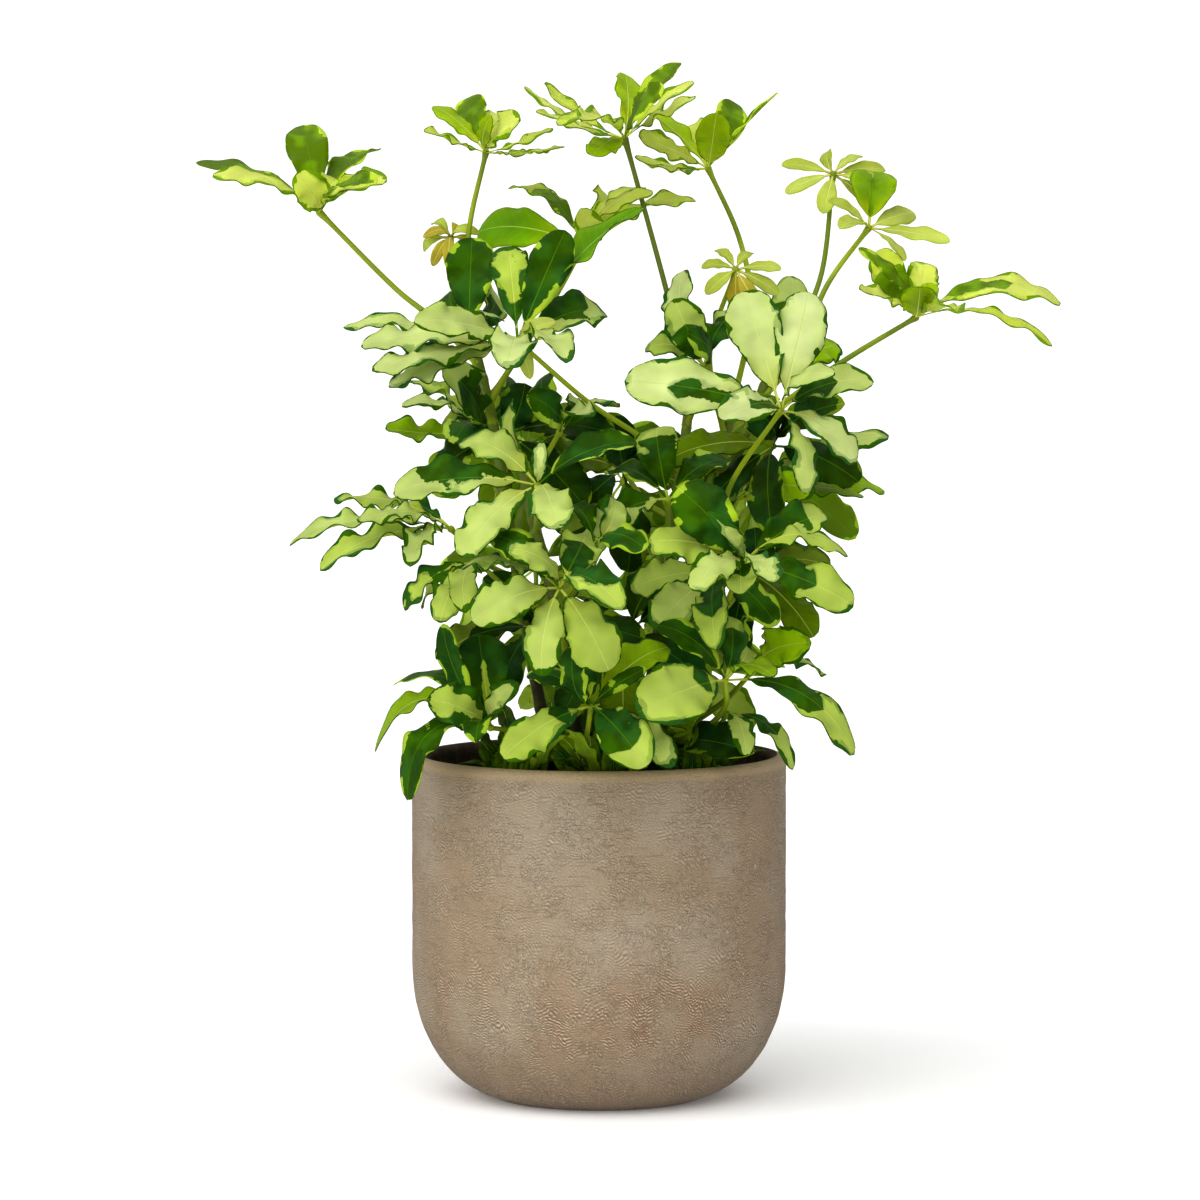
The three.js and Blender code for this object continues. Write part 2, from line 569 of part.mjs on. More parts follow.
// The leaflets of an even fan round its hub, leaning the way it faces and drooping a little
function fanLeaflets(leaf, seed, forward) {
  const leaflets = [];
  for (let i = 0; i < FAN_COUNT; i += 1) {
    const angle = radians(leaf.start + (360 * i) / FAN_COUNT + 16 * (chance(seed, i) - 0.5));
    const reach = FAN_REACH * (0.85 + 0.3 * chance(seed, i + 10));
    const lean = forward * (18 + 20 * chance(seed, i + 20));
    const width = FAN_WIDTH * (0.85 + 0.3 * chance(seed, i + 30));
    const turn = 30 * chance(seed, i + 40);
    const up = reach * FAN_HEIGHT_SHARE * Math.sin(angle) - FAN_DROOP;
    leaflets.push([reach * FAN_WIDTH_SHARE * Math.cos(angle), lean, up, width, turn]);
  }
  return leaflets;
}

function fan(leaf, name, seed, forward) {
  return { ...leaf, name, facing: forward < 0 ? FRONT : BACK, leaflets: fanLeaflets(leaf, seed, forward) };
}

const allLeaves = [
  ...LEAVES.map((leaf) => ({ ...leaf, facing: FRONT })),
  ...MIDDLE_LEAVES.map((leaf, i) => fan(leaf, `leaf_middle_${i + 1}`, i + 51, -1)),
  ...BACK_LEAVES.map((leaf, i) => fan(leaf, `leaf_back_${i + 1}`, i + 1, 1)),
];

const pot = makePot();
place(pot, 'pot');
let soil = makeSoil();

const stems = {};
const stemSleeves = {};
for (const [name, path] of Object.entries(STEMS)) {
  const points = path.map((p) => new THREE.Vector3(...p));
  stems[name] = rod(points, STEM_RADIUS, STEM_SIDES, STEM_STEPS);
  stemSleeves[name] = rod(points, STEM_RADIUS + FIT_GAP, STEM_SIDES, STEM_STEPS);
  soil = soil.subtract(stemSleeves[name]);
  place(stems[name], name);
}

const petioles = new Map();
for (const leaf of allLeaves) {
  leaf.at = inView(...leaf.hub);
  const petiole = makePetiole(leaf, leaf.at).add(hubKnob(leaf.at, HUB_RADIUS));
  petioles.set(leaf.name, mainBody(petiole.subtract(stemSleeves[leaf.stem])));
  place(petioles.get(leaf.name), leaf.name);
}

place(soil, 'soil');
allLeaves.forEach((leaf, leafIndex) => {
  const parts = [petioles.get(leaf.name)];
  leaf.leaflets.forEach(([dx, dy, dz, width, turn, bow = USUAL_BOW], i) => {
    const tip = inView(leaf.hub[0] + dx, leaf.hub[1] + dy, leaf.hub[2] + dz);
    const reach = leaf.at.distanceTo(tip);
    const rows = width < SMALL_WIDTH ? SMALL_ROWS : ROWS;
    const rise = Math.min(bow, reach * BOW_LIMIT);
    const shape = { facing: leaf.facing, turn, width, bow: rise, seed: leafIndex * 20 + i, rows };
    const blade = fitBlade(leaf.name, leaf.at, tip, shape);
    if (blade === null) console.warn(`${leaf.name}: leaflet ${i} has no room`);
    else parts.push(blade);
  });
  leaf.solid = mainBody(parts.reduce((whole, piece) => whole.add(piece)));
});

// A clump of low shoots: a short root in the soil, a knob on it, and small leaves curling out and up
function makeShoots(clump, index) {
  const foot = new THREE.Vector3(...clump.foot, SOIL_TOP);
  const crown = foot.clone().add(new THREE.Vector3(0, 0, SHOOT_CROWN));
  const root = [foot.clone().add(new THREE.Vector3(0, 0, -SHOOT_ROOT)), foot, crown];
  const parts = [rod(root, SHOOT_RADIUS, STEM_SIDES, 2), hubKnob(crown, HUB_RADIUS)];
  for (let i = 0; i < clump.count; i += 1) {
    const seed = 900 + index * 20 + i;
    const angle = radians(clump.start + (360 * i) / clump.count);
    const reach = SHOOT_REACH * (0.7 + 0.6 * chance(seed, 4));
    const rise = SHOOT_RISE * (0.4 + 1.2 * chance(seed, 5));
    const tip = crown.clone().add(new THREE.Vector3(reach * Math.cos(angle), reach * Math.sin(angle), rise));
    const shape = { facing: UPWARD, turn: 0, width: SHOOT_WIDTH, bow: SHOOT_BOW, seed, rows: SMALL_ROWS };
    const blade = fitBlade(clump.name, crown, tip, shape);
    if (blade !== null) parts.push(blade);
  }
  return mainBody(parts.reduce((whole, piece) => whole.add(piece)));
}

for (const clump of SHOOTS) {
  const foot = new THREE.Vector3(...clump.foot, SOIL_TOP);
  const below = foot.clone().add(new THREE.Vector3(0, 0, -SHOOT_ROOT - FIT_GAP));
  const path = [below, foot, foot.clone().setZ(SOIL_TOP + 1)];
  soil = soil.subtract(rod(path, SHOOT_RADIUS + FIT_GAP, STEM_SIDES, 2));
}
SHOOTS.forEach((clump, index) => {
  clump.solid = makeShoots(clump, index);
});

addMesh('pot', pot, MATERIALS.pot);
addMesh('soil', soil, MATERIALS.soil);
for (const clump of SHOOTS) addMesh(clump.name, clump.solid, MATERIALS.shoot);
for (const [name, solid] of Object.entries(stems)) addMesh(name, solid, MATERIALS.stem);
for (const leaf of allLeaves) {
  addMesh(leaf.name, leaf.solid, leaf.name.startsWith('young') ? MATERIALS.young : MATERIALS.leaf);
}

export default plant;
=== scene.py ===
"""Blender scene of a variegated umbrella plant in a rounded stoneware pot.

The plant's plan repeats the part's own: leaf hubs, stems and leaflet tips in millimetres, as they stand in a
front view. Each leaflet then takes the small bend that its CAD solid has, so that the fine blade lies on it.
"""

from __future__ import annotations

import logging
import math
import random
from collections.abc import Callable
from dataclasses import dataclass, field
from enum import Enum
from functools import partial
from itertools import product

import bpy
import numpy as np
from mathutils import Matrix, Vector
from mathutils.kdtree import KDTree

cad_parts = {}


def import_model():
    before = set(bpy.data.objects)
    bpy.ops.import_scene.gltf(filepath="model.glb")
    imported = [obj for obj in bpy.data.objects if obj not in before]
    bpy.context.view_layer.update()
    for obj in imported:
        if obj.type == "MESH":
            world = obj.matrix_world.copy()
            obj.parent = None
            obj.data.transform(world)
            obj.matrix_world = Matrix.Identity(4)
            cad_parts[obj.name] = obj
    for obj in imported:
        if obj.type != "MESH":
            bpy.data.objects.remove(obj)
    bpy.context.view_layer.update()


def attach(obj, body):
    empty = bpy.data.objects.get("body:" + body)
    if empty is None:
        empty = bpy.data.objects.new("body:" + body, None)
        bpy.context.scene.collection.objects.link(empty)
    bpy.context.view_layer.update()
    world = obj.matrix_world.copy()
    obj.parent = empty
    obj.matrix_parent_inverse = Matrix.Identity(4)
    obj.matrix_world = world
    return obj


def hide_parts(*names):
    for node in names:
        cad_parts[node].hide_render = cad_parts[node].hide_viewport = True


LOG = logging.getLogger("umbrella_plant")
MM = 0.001
TURN = 2 * math.pi
BODY = "root"

# The eye's distance and height in front of the pot, from which the plant's plan is measured
EYE_DISTANCE_MM = 2400.0
EYE_HEIGHT_MM = 410.0
AIM_HEIGHT_MM = 252.0
AIM_RIGHT_MM = 0.5
FRAME_WIDTH_MM = 608.4

Point = np.ndarray
Place = tuple[float, float, float]
Piece = bpy.types.Object
Material = bpy.types.Material
Socket = bpy.types.NodeSocket
Add = Callable[..., Socket]


class Facing(Enum):
    """The side that the upper faces of a leaf's blades look towards."""

    FRONT = (0.0, -0.94, 0.34)
    BACK = (0.0, 0.94, 0.34)
    UP = (0.0, 0.0, 1.0)


@dataclass(frozen=True)
class Pattern:
    """How a leaflet is coloured, in millimetres and in shares of its length.

    The dark margin and the half width of the dark centre are pale ones where negative. The centre is shifted
    to one side and runs from start to end. The ground may turn towards white, in part as whiter tissue and in
    part as a painted sheen, and this kind of leaflet waves more or less than its leaf.
    """

    margin: float
    centre: float = 0.0
    shift: float = 0.0
    start: float = 0.0
    end: float = 1.0
    ground: str = "#a2b350"
    whiten_and_sheen: float = 0.0
    ruffle: float = 1.0


class Variegation(Enum):
    """The named patterns of leaflets."""

    P = Pattern(1.0, whiten_and_sheen=0.9)
    B = Pattern(0.9, 3.8, 1.8, 0.16, 0.8, whiten_and_sheen=0.9, ruffle=0.8)
    H = Pattern(0.9, 9.0, 8.6, 0.1, 0.9, whiten_and_sheen=0.6, ruffle=0.7)
    C = Pattern(0.8, 6.4, 0.0, 0.1, 0.78, whiten_and_sheen=0.5, ruffle=0.8)
    K = Pattern(0.5, 9.5, 1.5, 0.0, 0.86, whiten_and_sheen=0.5, ruffle=0.5)
    R = Pattern(0.9, 6.5, 4.0, 0.14, 0.48, whiten_and_sheen=0.6, ruffle=0.8)
    M = Pattern(3.0, ground="#a3b648", whiten_and_sheen=0.4, ruffle=0.7)
    A = Pattern(-1.2, 15.0, 8.0, -0.3, 1.5, "#a2b93a", 0.3, 0.4)
    W = Pattern(0.8, -2.2, 0.6, -0.1, 0.8, "#a2b93a", 0.3, 0.4)
    D = Pattern(-1.5, 30.0, 0.0, -0.5, 1.5, "#96b02e", 0.3, 0.35)
    F = Pattern(0.2, ground="#5a8a10", ruffle=0.4)
    # G's lime ground paints the glow of light shining through a leaflet from behind
    G = Pattern(0.3, ground="#7b980e", ruffle=0.8)
    L = Pattern(0.7, ground="#8fb00a")
    Y = Pattern(0.0, ground="#a8b24a", whiten_and_sheen=0.3, ruffle=0.2)
    O = Pattern(0.0, ground="#ad9636", whiten_and_sheen=0.1, ruffle=0.2)
    S = Pattern(0.3, 1.4, 0.0, 0.1, 0.9, "#55760e")


@dataclass(frozen=True)
class Tissue:
    """Pale tissue: its colours at root and rim, how far the first reaches and how strong the second is."""

    root: str
    rim: str
    root_reach: float
    rim_strength: float


YOUNG_TISSUE = Tissue("#a07424", "#9cab34", 0.3, 0.55)
GROWN_TISSUE = Tissue("#adb41c", "#93b31c", 0.5, 0.35)
# The whitish colour that pale tissue may turn to: partly whiter tissue, partly a painted sheen
WHITE_AND_SHEEN = "#c5cf95"


@dataclass(frozen=True)
class Light:
    """What a leaf's place gives it: its dark green, darker as painted shade or lighter as painted sunlight;
    how cool that turns in patches; a tint that paints shade or sunlight on its pale tissue; and how far a
    painted sheen may whiten that tissue."""

    green: str
    coolness: float
    pale: tuple[float, ...]
    whiten_and_sheen: float


class PaintedLight(Enum):
    """Painted light by where a leaf grows: shaded copies of its colours inside the crown, the plain ones
    outside it, and lighter sunlit ones high up.
    """

    SHADE = Light("#1f3d05", 0.45, (0.54, 0.56, 0.4, 1.0), 0.0)
    DEEP = Light("#2f5604", 0.45, (1.0, 1.0, 1.0, 1.0), 1.0)
    SUNLIT = Light("#648404", 0.05, (1.32, 1.22, 0.82, 1.0), 0.45)


@dataclass(frozen=True)
class LeafPlan:
    """One compound leaf as the part's plan gives it.

    Each leaflet is (right, back, up) from hub to tip, blade width, turn of its face to the sky in degrees,
    and optionally its arch. patterns has a letter of Variegation for each leaflet, and ruffle is the strength
    of their waves beyond those of the solid. A woody leaf's petiole has the stems' bark.
    """

    name: str
    hub: Place
    stem: str
    height: float
    patterns: str
    leaflets: tuple[tuple[float, ...], ...]
    via: tuple[Place, ...] = ()
    facing: Facing = Facing.FRONT
    # The painted light of the leaf's place: shaded, plain or sunlit copies of its colours
    tone: PaintedLight = PaintedLight.DEEP
    ruffle: float = 1.0
    woody: bool = False


STEMS: dict[str, list[Place]] = {
    "stem_left": [
        (-18, 8, 112), (-22, 10, 150), (-34, 14, 220), (-46, 12, 290), (-54, 8, 342), (-63, 4, 380),
    ],
    "stem_front": [
        (-6, -22, 112), (-8, -24, 150), (-14, -34, 210), (-26, -42, 270), (-34, -46, 300), (-38, -48, 324),
    ],
    "stem_middle": [(16, 4, 112), (18, 4, 150), (28, 8, 220), (36, 10, 280), (43, 10, 327), (47, 10, 364)],
    "stem_back": [(32, 26, 112), (36, 28, 150), (46, 34, 220), (54, 34, 280), (62, 30, 317), (68, 28, 348)],
    "stem_right": [
        (34, -16, 112), (38, -18, 150), (48, -20, 210), (57, -16, 270), (66, -10, 315), (84, -6, 362),
    ],
}

LEAVES: list[LeafPlan] = [
    LeafPlan("leaf_front_middle", (-20, -130, 258), "stem_front", 226, "PPDCHPPP", (
        (-49, 10, 13, 20, 55), (-24, -30, 21, 16, 30), (-34, 20, 29, 18, 20), (13, 30, 26, 22, 10),
        (32, -40, -10, 20, 25, 12), (25, -25, -41, 26, 5), (-10, -20, -42, 20, 15), (-44, -22, -16, 24, 15))),
    LeafPlan("leaf_front_upper", (-31, -100, 310), "stem_front", 290, "HPPDPPP", (
        (-73, -10, -3, 26, 30), (-39, -30, -35, 22, 20), (10, -50, -22, 22, 10), (50, 10, 22, 20, 35),
        (-38, 20, 24, 22, 25), (-13, 30, 42, 16, 55), (2, -10, 22, 8, 0)), ruffle=0.8),
    LeafPlan("leaf_broad_right", (92, -80, 348), "stem_right", 282, "BPPPCPPB", (
        (-79, -10, 15, 28, 5), (-19, 25, 60, 27, 5), (14, 20, 60, 26, 5), (25, -30, 20, 16, 50),
        (46, -10, 16, 19, 25), (38, -15, -25, 20, 30), (12, -25, -42, 18, 45), (-30, -50, -3, 20, 10)),
        via=((67, -48, 311),), ruffle=0.7),
    LeafPlan("leaf_front_right", (73, -110, 271), "stem_right", 226, "DPPPBCHPP", (
        (-33, -6, 38, 28, 0, 10), (-15, -30, 24, 8, 0), (-48, -20, 10, 22, 20), (-24, -45, -10, 18, 20),
        (0, -55, -18, 20, 10), (56, -10, -22, 22, 10), (41, 20, 25, 20, 10), (52, 10, 6, 16, 50, 12),
        (14, -46, -8, 16, 20)), ruffle=1.2),
    LeafPlan("leaf_front_low", (-4, -110, 198), "stem_front", 172, "DGDDDGDKPR", (
        (-32, 10, 17, 14, 30), (-24, 30, 23, 14, 50), (-9, -20, 30, 16, 50), (-2, 35, 26, 14, 20),
        (14, 30, 21, 14, 20), (39, 10, 31, 20, 20), (28, 0, 20, 8, 0), (28, -30, -31, 25, 5),
        (43, -8, -29, 18, 15), (-45, -25, -26, 21, 15))),
    LeafPlan("leaf_low_right", (64, -96, 211), "stem_right", 178, "RDPCPGC", (
        (-43, -42, -15, 32, 0), (-33, -5, 29, 18, 30), (-17, 15, 23, 16, 20), (2, 20, 34, 16, 20),
        (9, 40, 19, 14, 40), (25, -36, 2, 16, 50), (66, -10, -37, 19, 30, 18)),
        via=((64, -70, 200),), ruffle=0.8),
    LeafPlan("leaf_low_left", (-55, -66, 187), "stem_left", 166, "WMDGAPDD", (
        (-6, 15, 47, 26, 0), (-31, -20, 15, 23, 5), (-49, 20, 22, 17, 50, 15), (-59, 2, -11, 20, 50, 22),
        (-43, -16, -36, 22, 40, 22), (14, -10, 23, 14, 30), (-7, -30, -6, 14, 30), (-24, 20, 54, 14, 40)),
        via=((-42, -40, 186),), ruffle=0.6),
    LeafPlan("leaf_broad_left", (-41, -66, 383), "stem_middle", 318, "MDHYPPYFPPPPP", (
        (-5, 30, 49, 20, 0), (24, 8, 56, 21, 5), (43, 30, 16, 24, 15), (19, -10, 10, 8, 0),
        (25, -45, -7, 18, 40), (-6, -52, -14, 22, 0), (6, -28, -18, 8, 0), (63, 16, 68, 20, 50),
        (-50, -35, 12, 20, 20, 3), (-79, -10, 0, 20, 35, 4), (-88, 15, 10, 16, 45, 3),
        (-74, -30, -13, 18, 35, 2), (-66, -14, -22, 18, 40, 2)),
        via=((-5, -34, 352), (22, -8, 334)), ruffle=1.3),
    LeafPlan("leaf_far_left", (-141, 10, 448), "stem_left", 372, "DPPDPDPDD", (
        (-62, -4, 25, 20, 55), (-53, -30, 19, 19, 50), (-10, -18, 19, 19, 5), (-8, 34, 44, 22, 0),
        (5, -22, 19, 17, 5), (28, 22, 32, 20, 40), (29, -14, 24, 18, 40), (23, -30, 25, 14, 30),
        (10, 50, 22, 18, 30)), via=((-101, 8, 408), (-86, 7, 396)), tone=PaintedLight.SUNLIT, ruffle=0.5),
    LeafPlan("leaf_top_left", (-57, 20, 478), "stem_left", 377, "PGDPPGPPP", (
        (-30, -30, 12, 12, 50, -1), (-26, 10, 24, 14, 40, 2), (-9, 30, 28, 17, 15, 4), (7, 48, 21, 16, 20, 3),
        (15, -40, 17, 18, 15, 3), (2, -20, 17, 10, 20, 3), (39, -25, 4, 13, 60, -2), (33, 15, 14, 13, 55, -2),
        (28, -45, 1, 12, 50, -1)), via=((-66, 16, 434),), tone=PaintedLight.SUNLIT, ruffle=0.5),
    LeafPlan("leaf_top_middle", (13, 4, 485), "stem_middle", 361, "PPPPPGDPPDG", (
        (-50, 10, 27, 13, 60, -4), (-40, 35, 28, 12, 50, -4), (-44, -25, 15, 12, 50, -2),
        (-33, -45, 9, 13, 50), (-21, -50, 9, 17, 20, 4), (0, 40, 32, 15, 30, 3), (27, 30, 38, 16, 40, 3),
        (34, -10, 29, 13, 50, 2), (35, -35, 20, 14, 45, 2), (18, -45, 25, 18, 30, 4),
        (-16, -38, -8, 16, 20, 3)),
        via=((31, 8, 420), (42, 9, 378)), tone=PaintedLight.SUNLIT, ruffle=0.5, woody=True),
    LeafPlan("leaf_top_right", (55, 40, 470), "stem_back", 345, "PPGPPGDD", (
        (-35, -30, 16, 18, 30, 1), (-37, 2, 6, 12, 50, -2), (-29, 30, 28, 14, 40, 2),
        (-30, -45, 3, 11, 50, -2), (-8, 45, 24, 16, 20, 3), (4, -36, 27, 18, 10, 3), (13, 35, 33, 18, 20, 5),
        (35, 10, 38, 11, 75, 1)), via=((71, 38, 434), (77, 34, 400)), tone=PaintedLight.SUNLIT, ruffle=0.5),
    LeafPlan("leaf_far_right", (160, -20, 395), "stem_right", 338, "CDPPGGBPP", (
        (-20, 14, 34, 18, 20, 5), (-29, -6, 35, 10, 40, 6), (-28, -25, 15, 13, 50, 2), (4, 20, 29, 17, 10, 3),
        (2, -38, 16, 18, 15, 3), (13, -30, 15, 14, 40, 3), (73, 10, 9, 22, 40, 13), (17, -50, 8, 13, 40, 3),
        (69, -20, -13, 14, 55, 10)), via=((122, -12, 372),), tone=PaintedLight.SUNLIT, ruffle=0.8),
    LeafPlan("leaf_upper_middle", (-8, 24, 431), "stem_left", 352, "FCPPPPP", (
        (-53, 20, 7, 24, 5, 12), (-36, 35, 31, 15, 40, 9), (10, 40, 28, 16, 40), (30, 20, 31, 14, 50),
        (33, -15, 28, 14, 50), (56, -10, 24, 16, 50), (0, -40, 17, 16, 40)),
        via=((-20, 22, 409),), tone=PaintedLight.SUNLIT, ruffle=0.7),
    LeafPlan("leaf_upper_right", (136, 24, 440), "stem_right", 350, "YYSYYY", (
        (-20, -10, 14, 9, 40, 2), (-14, -30, 1, 11, 30, 3), (2, 20, 29, 24, 5, 4), (23, 16, 8, 13, 15, 2),
        (41, -10, -6, 11, 30, 1), (18, -30, -16, 9, 50, 2)),
        via=((115, 4, 411), (100, -8, 376)), tone=PaintedLight.SUNLIT, ruffle=0.2),
    LeafPlan("young_leaf_right", (118, 46, 467), "stem_right", 360, "YYYYYYYY", (
        (-26, 4, 5, 8, 20, 2), (-24, -8, -9, 8, 20, 2), (-5, -14, -19, 10, 0, 2), (-3, 12, 12, 8, 40, 2),
        (14, 10, 10, 8, 40, 2), (27, 2, 3, 9, 20, 2), (28, -6, -7, 9, 20, 2), (22, -10, -17, 8, 10, 2)),
        via=((112, 40, 416), (98, 22, 384)), tone=PaintedLight.SUNLIT, ruffle=0),
    LeafPlan("young_leaf_middle", (69, 6, 419), "stem_back", 332, "YYYYYOOY", (
        (-17, -4, 2, 7, 30, 2), (-10, 8, 10, 7, 30, 2), (8, 8, 9, 7, 30, 2), (23, 2, 1, 7, 20, 2),
        (-15, -8, -12, 8, 10, 2), (0, -10, -19, 9, 0, 2), (11, -8, -20, 9, 0, 2), (22, -6, -12, 8, 10, 2)),
        via=((56, 14, 377),), tone=PaintedLight.SUNLIT, ruffle=0),
    LeafPlan("young_leaf_left", (-75, 35, 435), "stem_left", 364, "YOOYOOYO", (
        (-9, 6, 7, 6, 20), (3, 6, 7, 6, 20), (-13, 0, 1, 6, 20), (-14, -4, -6, 6, 10), (-9, -6, -14, 6, 0),
        (-1, -8, -15, 6, 0), (15, 2, 2, 6, 20), (11, -6, -6, 6, 20)), tone=PaintedLight.SUNLIT, ruffle=0),
    LeafPlan("leaf_dark_left", (-66, -16, 384), "stem_left", 342, "DCPD", (
        (2, 20, 51, 25, 0), (12, 40, 25, 18, 50), (17, 34, 12, 16, 50), (-8, 45, 26, 16, 30)), ruffle=0.6),
    LeafPlan("leaf_left_behind", (-61, 16, 337), "stem_left", 296, "PPGDKD", (
        (-37, 20, 25, 16, 50), (-37, -20, 16, 16, 60), (-47, -10, 2, 18, 40, -2), (-12, -40, -4, 20, 20),
        (-10, -34, 34, 23, 10), (20, 45, 25, 18, 30)), ruffle=1.3),
    LeafPlan("leaf_left_ruffled", (-75, -36, 288), "stem_left", 262, "PPPPCP", (
        (-82, 0, -4, 18, 50), (-66, -20, -18, 18, 40), (-59, 20, 15, 18, 50), (-47, -35, 4, 16, 50),
        (-34, 35, 11, 16, 40), (-21, -35, -18, 16, 40)), ruffle=1.6),
    LeafPlan("leaf_left_drooping", (-61, -60, 271), "stem_front", 246, "MPPP", (
        (-38, -10, -23, 16, 40), (-29, 20, -22, 16, 50), (-20, -35, -29, 18, 20), (-8, -45, -22, 16, 30)),
        ruffle=1.2),
    LeafPlan("leaf_inner_right", (35, -60, 303), "stem_middle", 268, "HKDPD", (
        (-38, -20, -17, 20, 20), (-6, 20, 36, 22, 10), (30, 20, 20, 18, 30), (20, -40, -20, 18, 30),
        (-30, 30, 15, 18, 30))),
    LeafPlan("leaf_inner_middle", (-2, -90, 280), "stem_front", 252, "DDP", (
        (25, -30, -1, 18, 30), (-15, 30, 20, 16, 30), (10, 35, 25, 16, 30))),
    LeafPlan("leaf_inner_low", (60, -60, 264), "stem_middle", 216, "PPCD", (
        (-44, -10, -7, 20, 20), (-32, -20, -26, 24, 10), (-2, -20, -33, 18, 20), (30, -20, -25, 18, 20)),
        ruffle=1.2),
    LeafPlan("leaf_dark_right", (53, -20, 370), "stem_middle", 340, "CPPDC", (
        (-15, -10, 34, 21, 10), (-12, 15, 49, 18, 40), (-29, -20, 10, 18, 30), (-8, -30, 17, 16, 30),
        (20, 20, 30, 18, 30)), ruffle=0.9),
    LeafPlan("leaf_behind_right", (90, 54, 364), "stem_back", 336, "CCLD", (
        (8, 20, 52, 20, 10), (-7, -20, 20, 16, 30), (31, 20, 17, 20, 10), (30, -6, -6, 16, 40))),
    LeafPlan("leaf_right_ruffled", (69, -20, 302), "stem_right", 262, "LGLPD", (
        (39, -20, 7, 20, 20), (65, 0, 2, 16, 50), (77, 20, 7, 16, 30), (77, 10, 36, 16, 20),
        (25, 30, 12, 18, 30)), ruffle=1.5),
    LeafPlan("leaf_inner_upper", (-20, -30, 337), "stem_front", 318, "DCDPP", (
        (-15, -20, 19, 18, 20), (8, 10, 18, 14, 30), (-8, 30, 29, 16, 30), (18, -20, 8, 14, 50),
        (29, 20, 15, 14, 40)), ruffle=1.2),
    LeafPlan("leaf_low_right_behind", (81, -40, 219), "stem_right", 190, "LPDP", (
        (24, -20, 12, 22, 10), (7, 20, 19, 16, 30), (-10, 45, 20, 16, 30), (32, 40, -5, 16, 40)), ruffle=1.3),
    LeafPlan("leaf_rim_right", (65, -66, 194), "stem_right", 164, "PC", (
        (10, -30, -20, 13, 20), (34, -18, -27, 12, 40, 10))),
]

# Even fans inside and at the back of the crown: hub, stem, height on the stem, first direction and patterns
MIDDLE_FANS = [
    ((-46, 24, 336), "stem_left", 310, 20, "DDCDGD"),
    ((12, 40, 318), "stem_middle", 292, 40, "DDGCDG"),
    ((-32, -8, 238), "stem_left", 212, 5, "DPDCDD"),
    ((16, -34, 236), "stem_front", 204, 30, "CDDDGD"),
    ((76, 18, 266), "stem_right", 240, 20, "PDCDDG"),
    ((88, -8, 330), "stem_right", 306, 50, "DDGCDD"),
    ((34, -30, 178), "stem_middle", 162, 10, "DGDDDD"),
]
BACK_FANS = [
    ((-36, 80, 330), "stem_left", 272, 20, "DDBCDD"),
    ((-32, 106, 268), "stem_left", 206, 50, "DCDPDP"),
    ((12, 100, 312), "stem_middle", 262, 10, "BDPDPC"),
    ((48, 112, 280), "stem_back", 230, 35, "DPPDCP"),
    ((84, 76, 314), "stem_back", 262, 35, "CDDBPD"),
    ((-36, 70, 220), "stem_left", 176, 40, "DDDPCP"),
    ((40, 74, 214), "stem_back", 172, 25, "DDPCDP"),
    ((8, 108, 210), "stem_middle", 168, 0, "DPDCPD"),
]

# Low shoots: where each clump stands on the soil, and the direction of its first leaf in degrees
CLUMPS = {
    "shoots_front_left": ((-38, -56), 0),
    "shoots_front": ((4, -66), 25),
    "shoots_front_right": ((48, -52), 10),
    "shoots_back": ((-8, 44), 30),
}


@dataclass(frozen=True)
class EvenFans:
    """The rule of the even fans, with their sizes in millimetres."""

    count: int = 6
    reach: float = 58.0
    width: float = 22.0
    droop: float = 10.0
    across_share: float = 0.85
    up_share: float = 0.65

    def plan(self, name: str, fan: tuple, seed: int, facing: Facing) -> LeafPlan:
        """Draws an even fan of leaflets by the part's rule.

        Args:
            name: The leaf's node name.
            fan: Hub, stem, height on the stem, first direction in degrees, and patterns.
            seed: The fan's seed in the part.
            facing: Front for a middle leaf, back for one at the back.

        Returns:
            The plan of the leaf.
        """
        hub, stem, height, start, patterns = fan
        # Middle fans take the painted shade of the crown; back fans keep the plain colours
        side, tone = (-1, PaintedLight.SHADE) if facing is Facing.FRONT else (1, PaintedLight.DEEP)
        draw = partial(between, seed)
        leaflets = []
        for i in range(self.count):
            angle = math.radians(start + 360 * i / self.count + draw(i, -8.0, 8.0))
            reach = self.reach * draw(i + 10, 0.85, 1.15)
            right = reach * self.across_share * math.cos(angle)
            up = reach * self.up_share * math.sin(angle) - self.droop
            width = self.width * draw(i + 30, 0.85, 1.15)
            leaflets.append((right, side * draw(i + 20, 18.0, 38.0), up, width, draw(i + 40, 0.0, 30.0)))
        return LeafPlan(name, hub, stem, height, patterns, tuple(leaflets), (), facing, tone)


def chance(item: int, purpose: int) -> float:
    """A repeatable number from 0 to 1 for an item and a purpose, the same as the part's own."""
    value = math.sin(item * 12.9898 + purpose * 78.233) * 43758.5453
    return value - math.floor(value)


def between(item: int, purpose: int, low: float, high: float) -> float:
    """A repeatable number from low to high for an item and a purpose."""
    return low + (high - low) * chance(item, purpose)


def in_view(point: Place | Point) -> Point:
    """Carries a point of the front view to its depth along the line of sight.

    Args:
        point: (right, back, up) in millimetres, as it stands in the front view.

    Returns:
        The point's real place in millimetres.
    """
    x, y, z = point
    spread = 1 + y / EYE_DISTANCE_MM
    return np.array([x * spread, y, EYE_HEIGHT_MM + (z - EYE_HEIGHT_MM) * spread])


def unit(vector: Point) -> Point:
    """The vector at length 1."""
    return vector / np.linalg.norm(vector)


def polar(reach: float, angle: float, up: float) -> Point:
    """The point at a reach from the upright axis, in a direction and at a height."""
    return np.array([reach * math.cos(angle), reach * math.sin(angle), up])


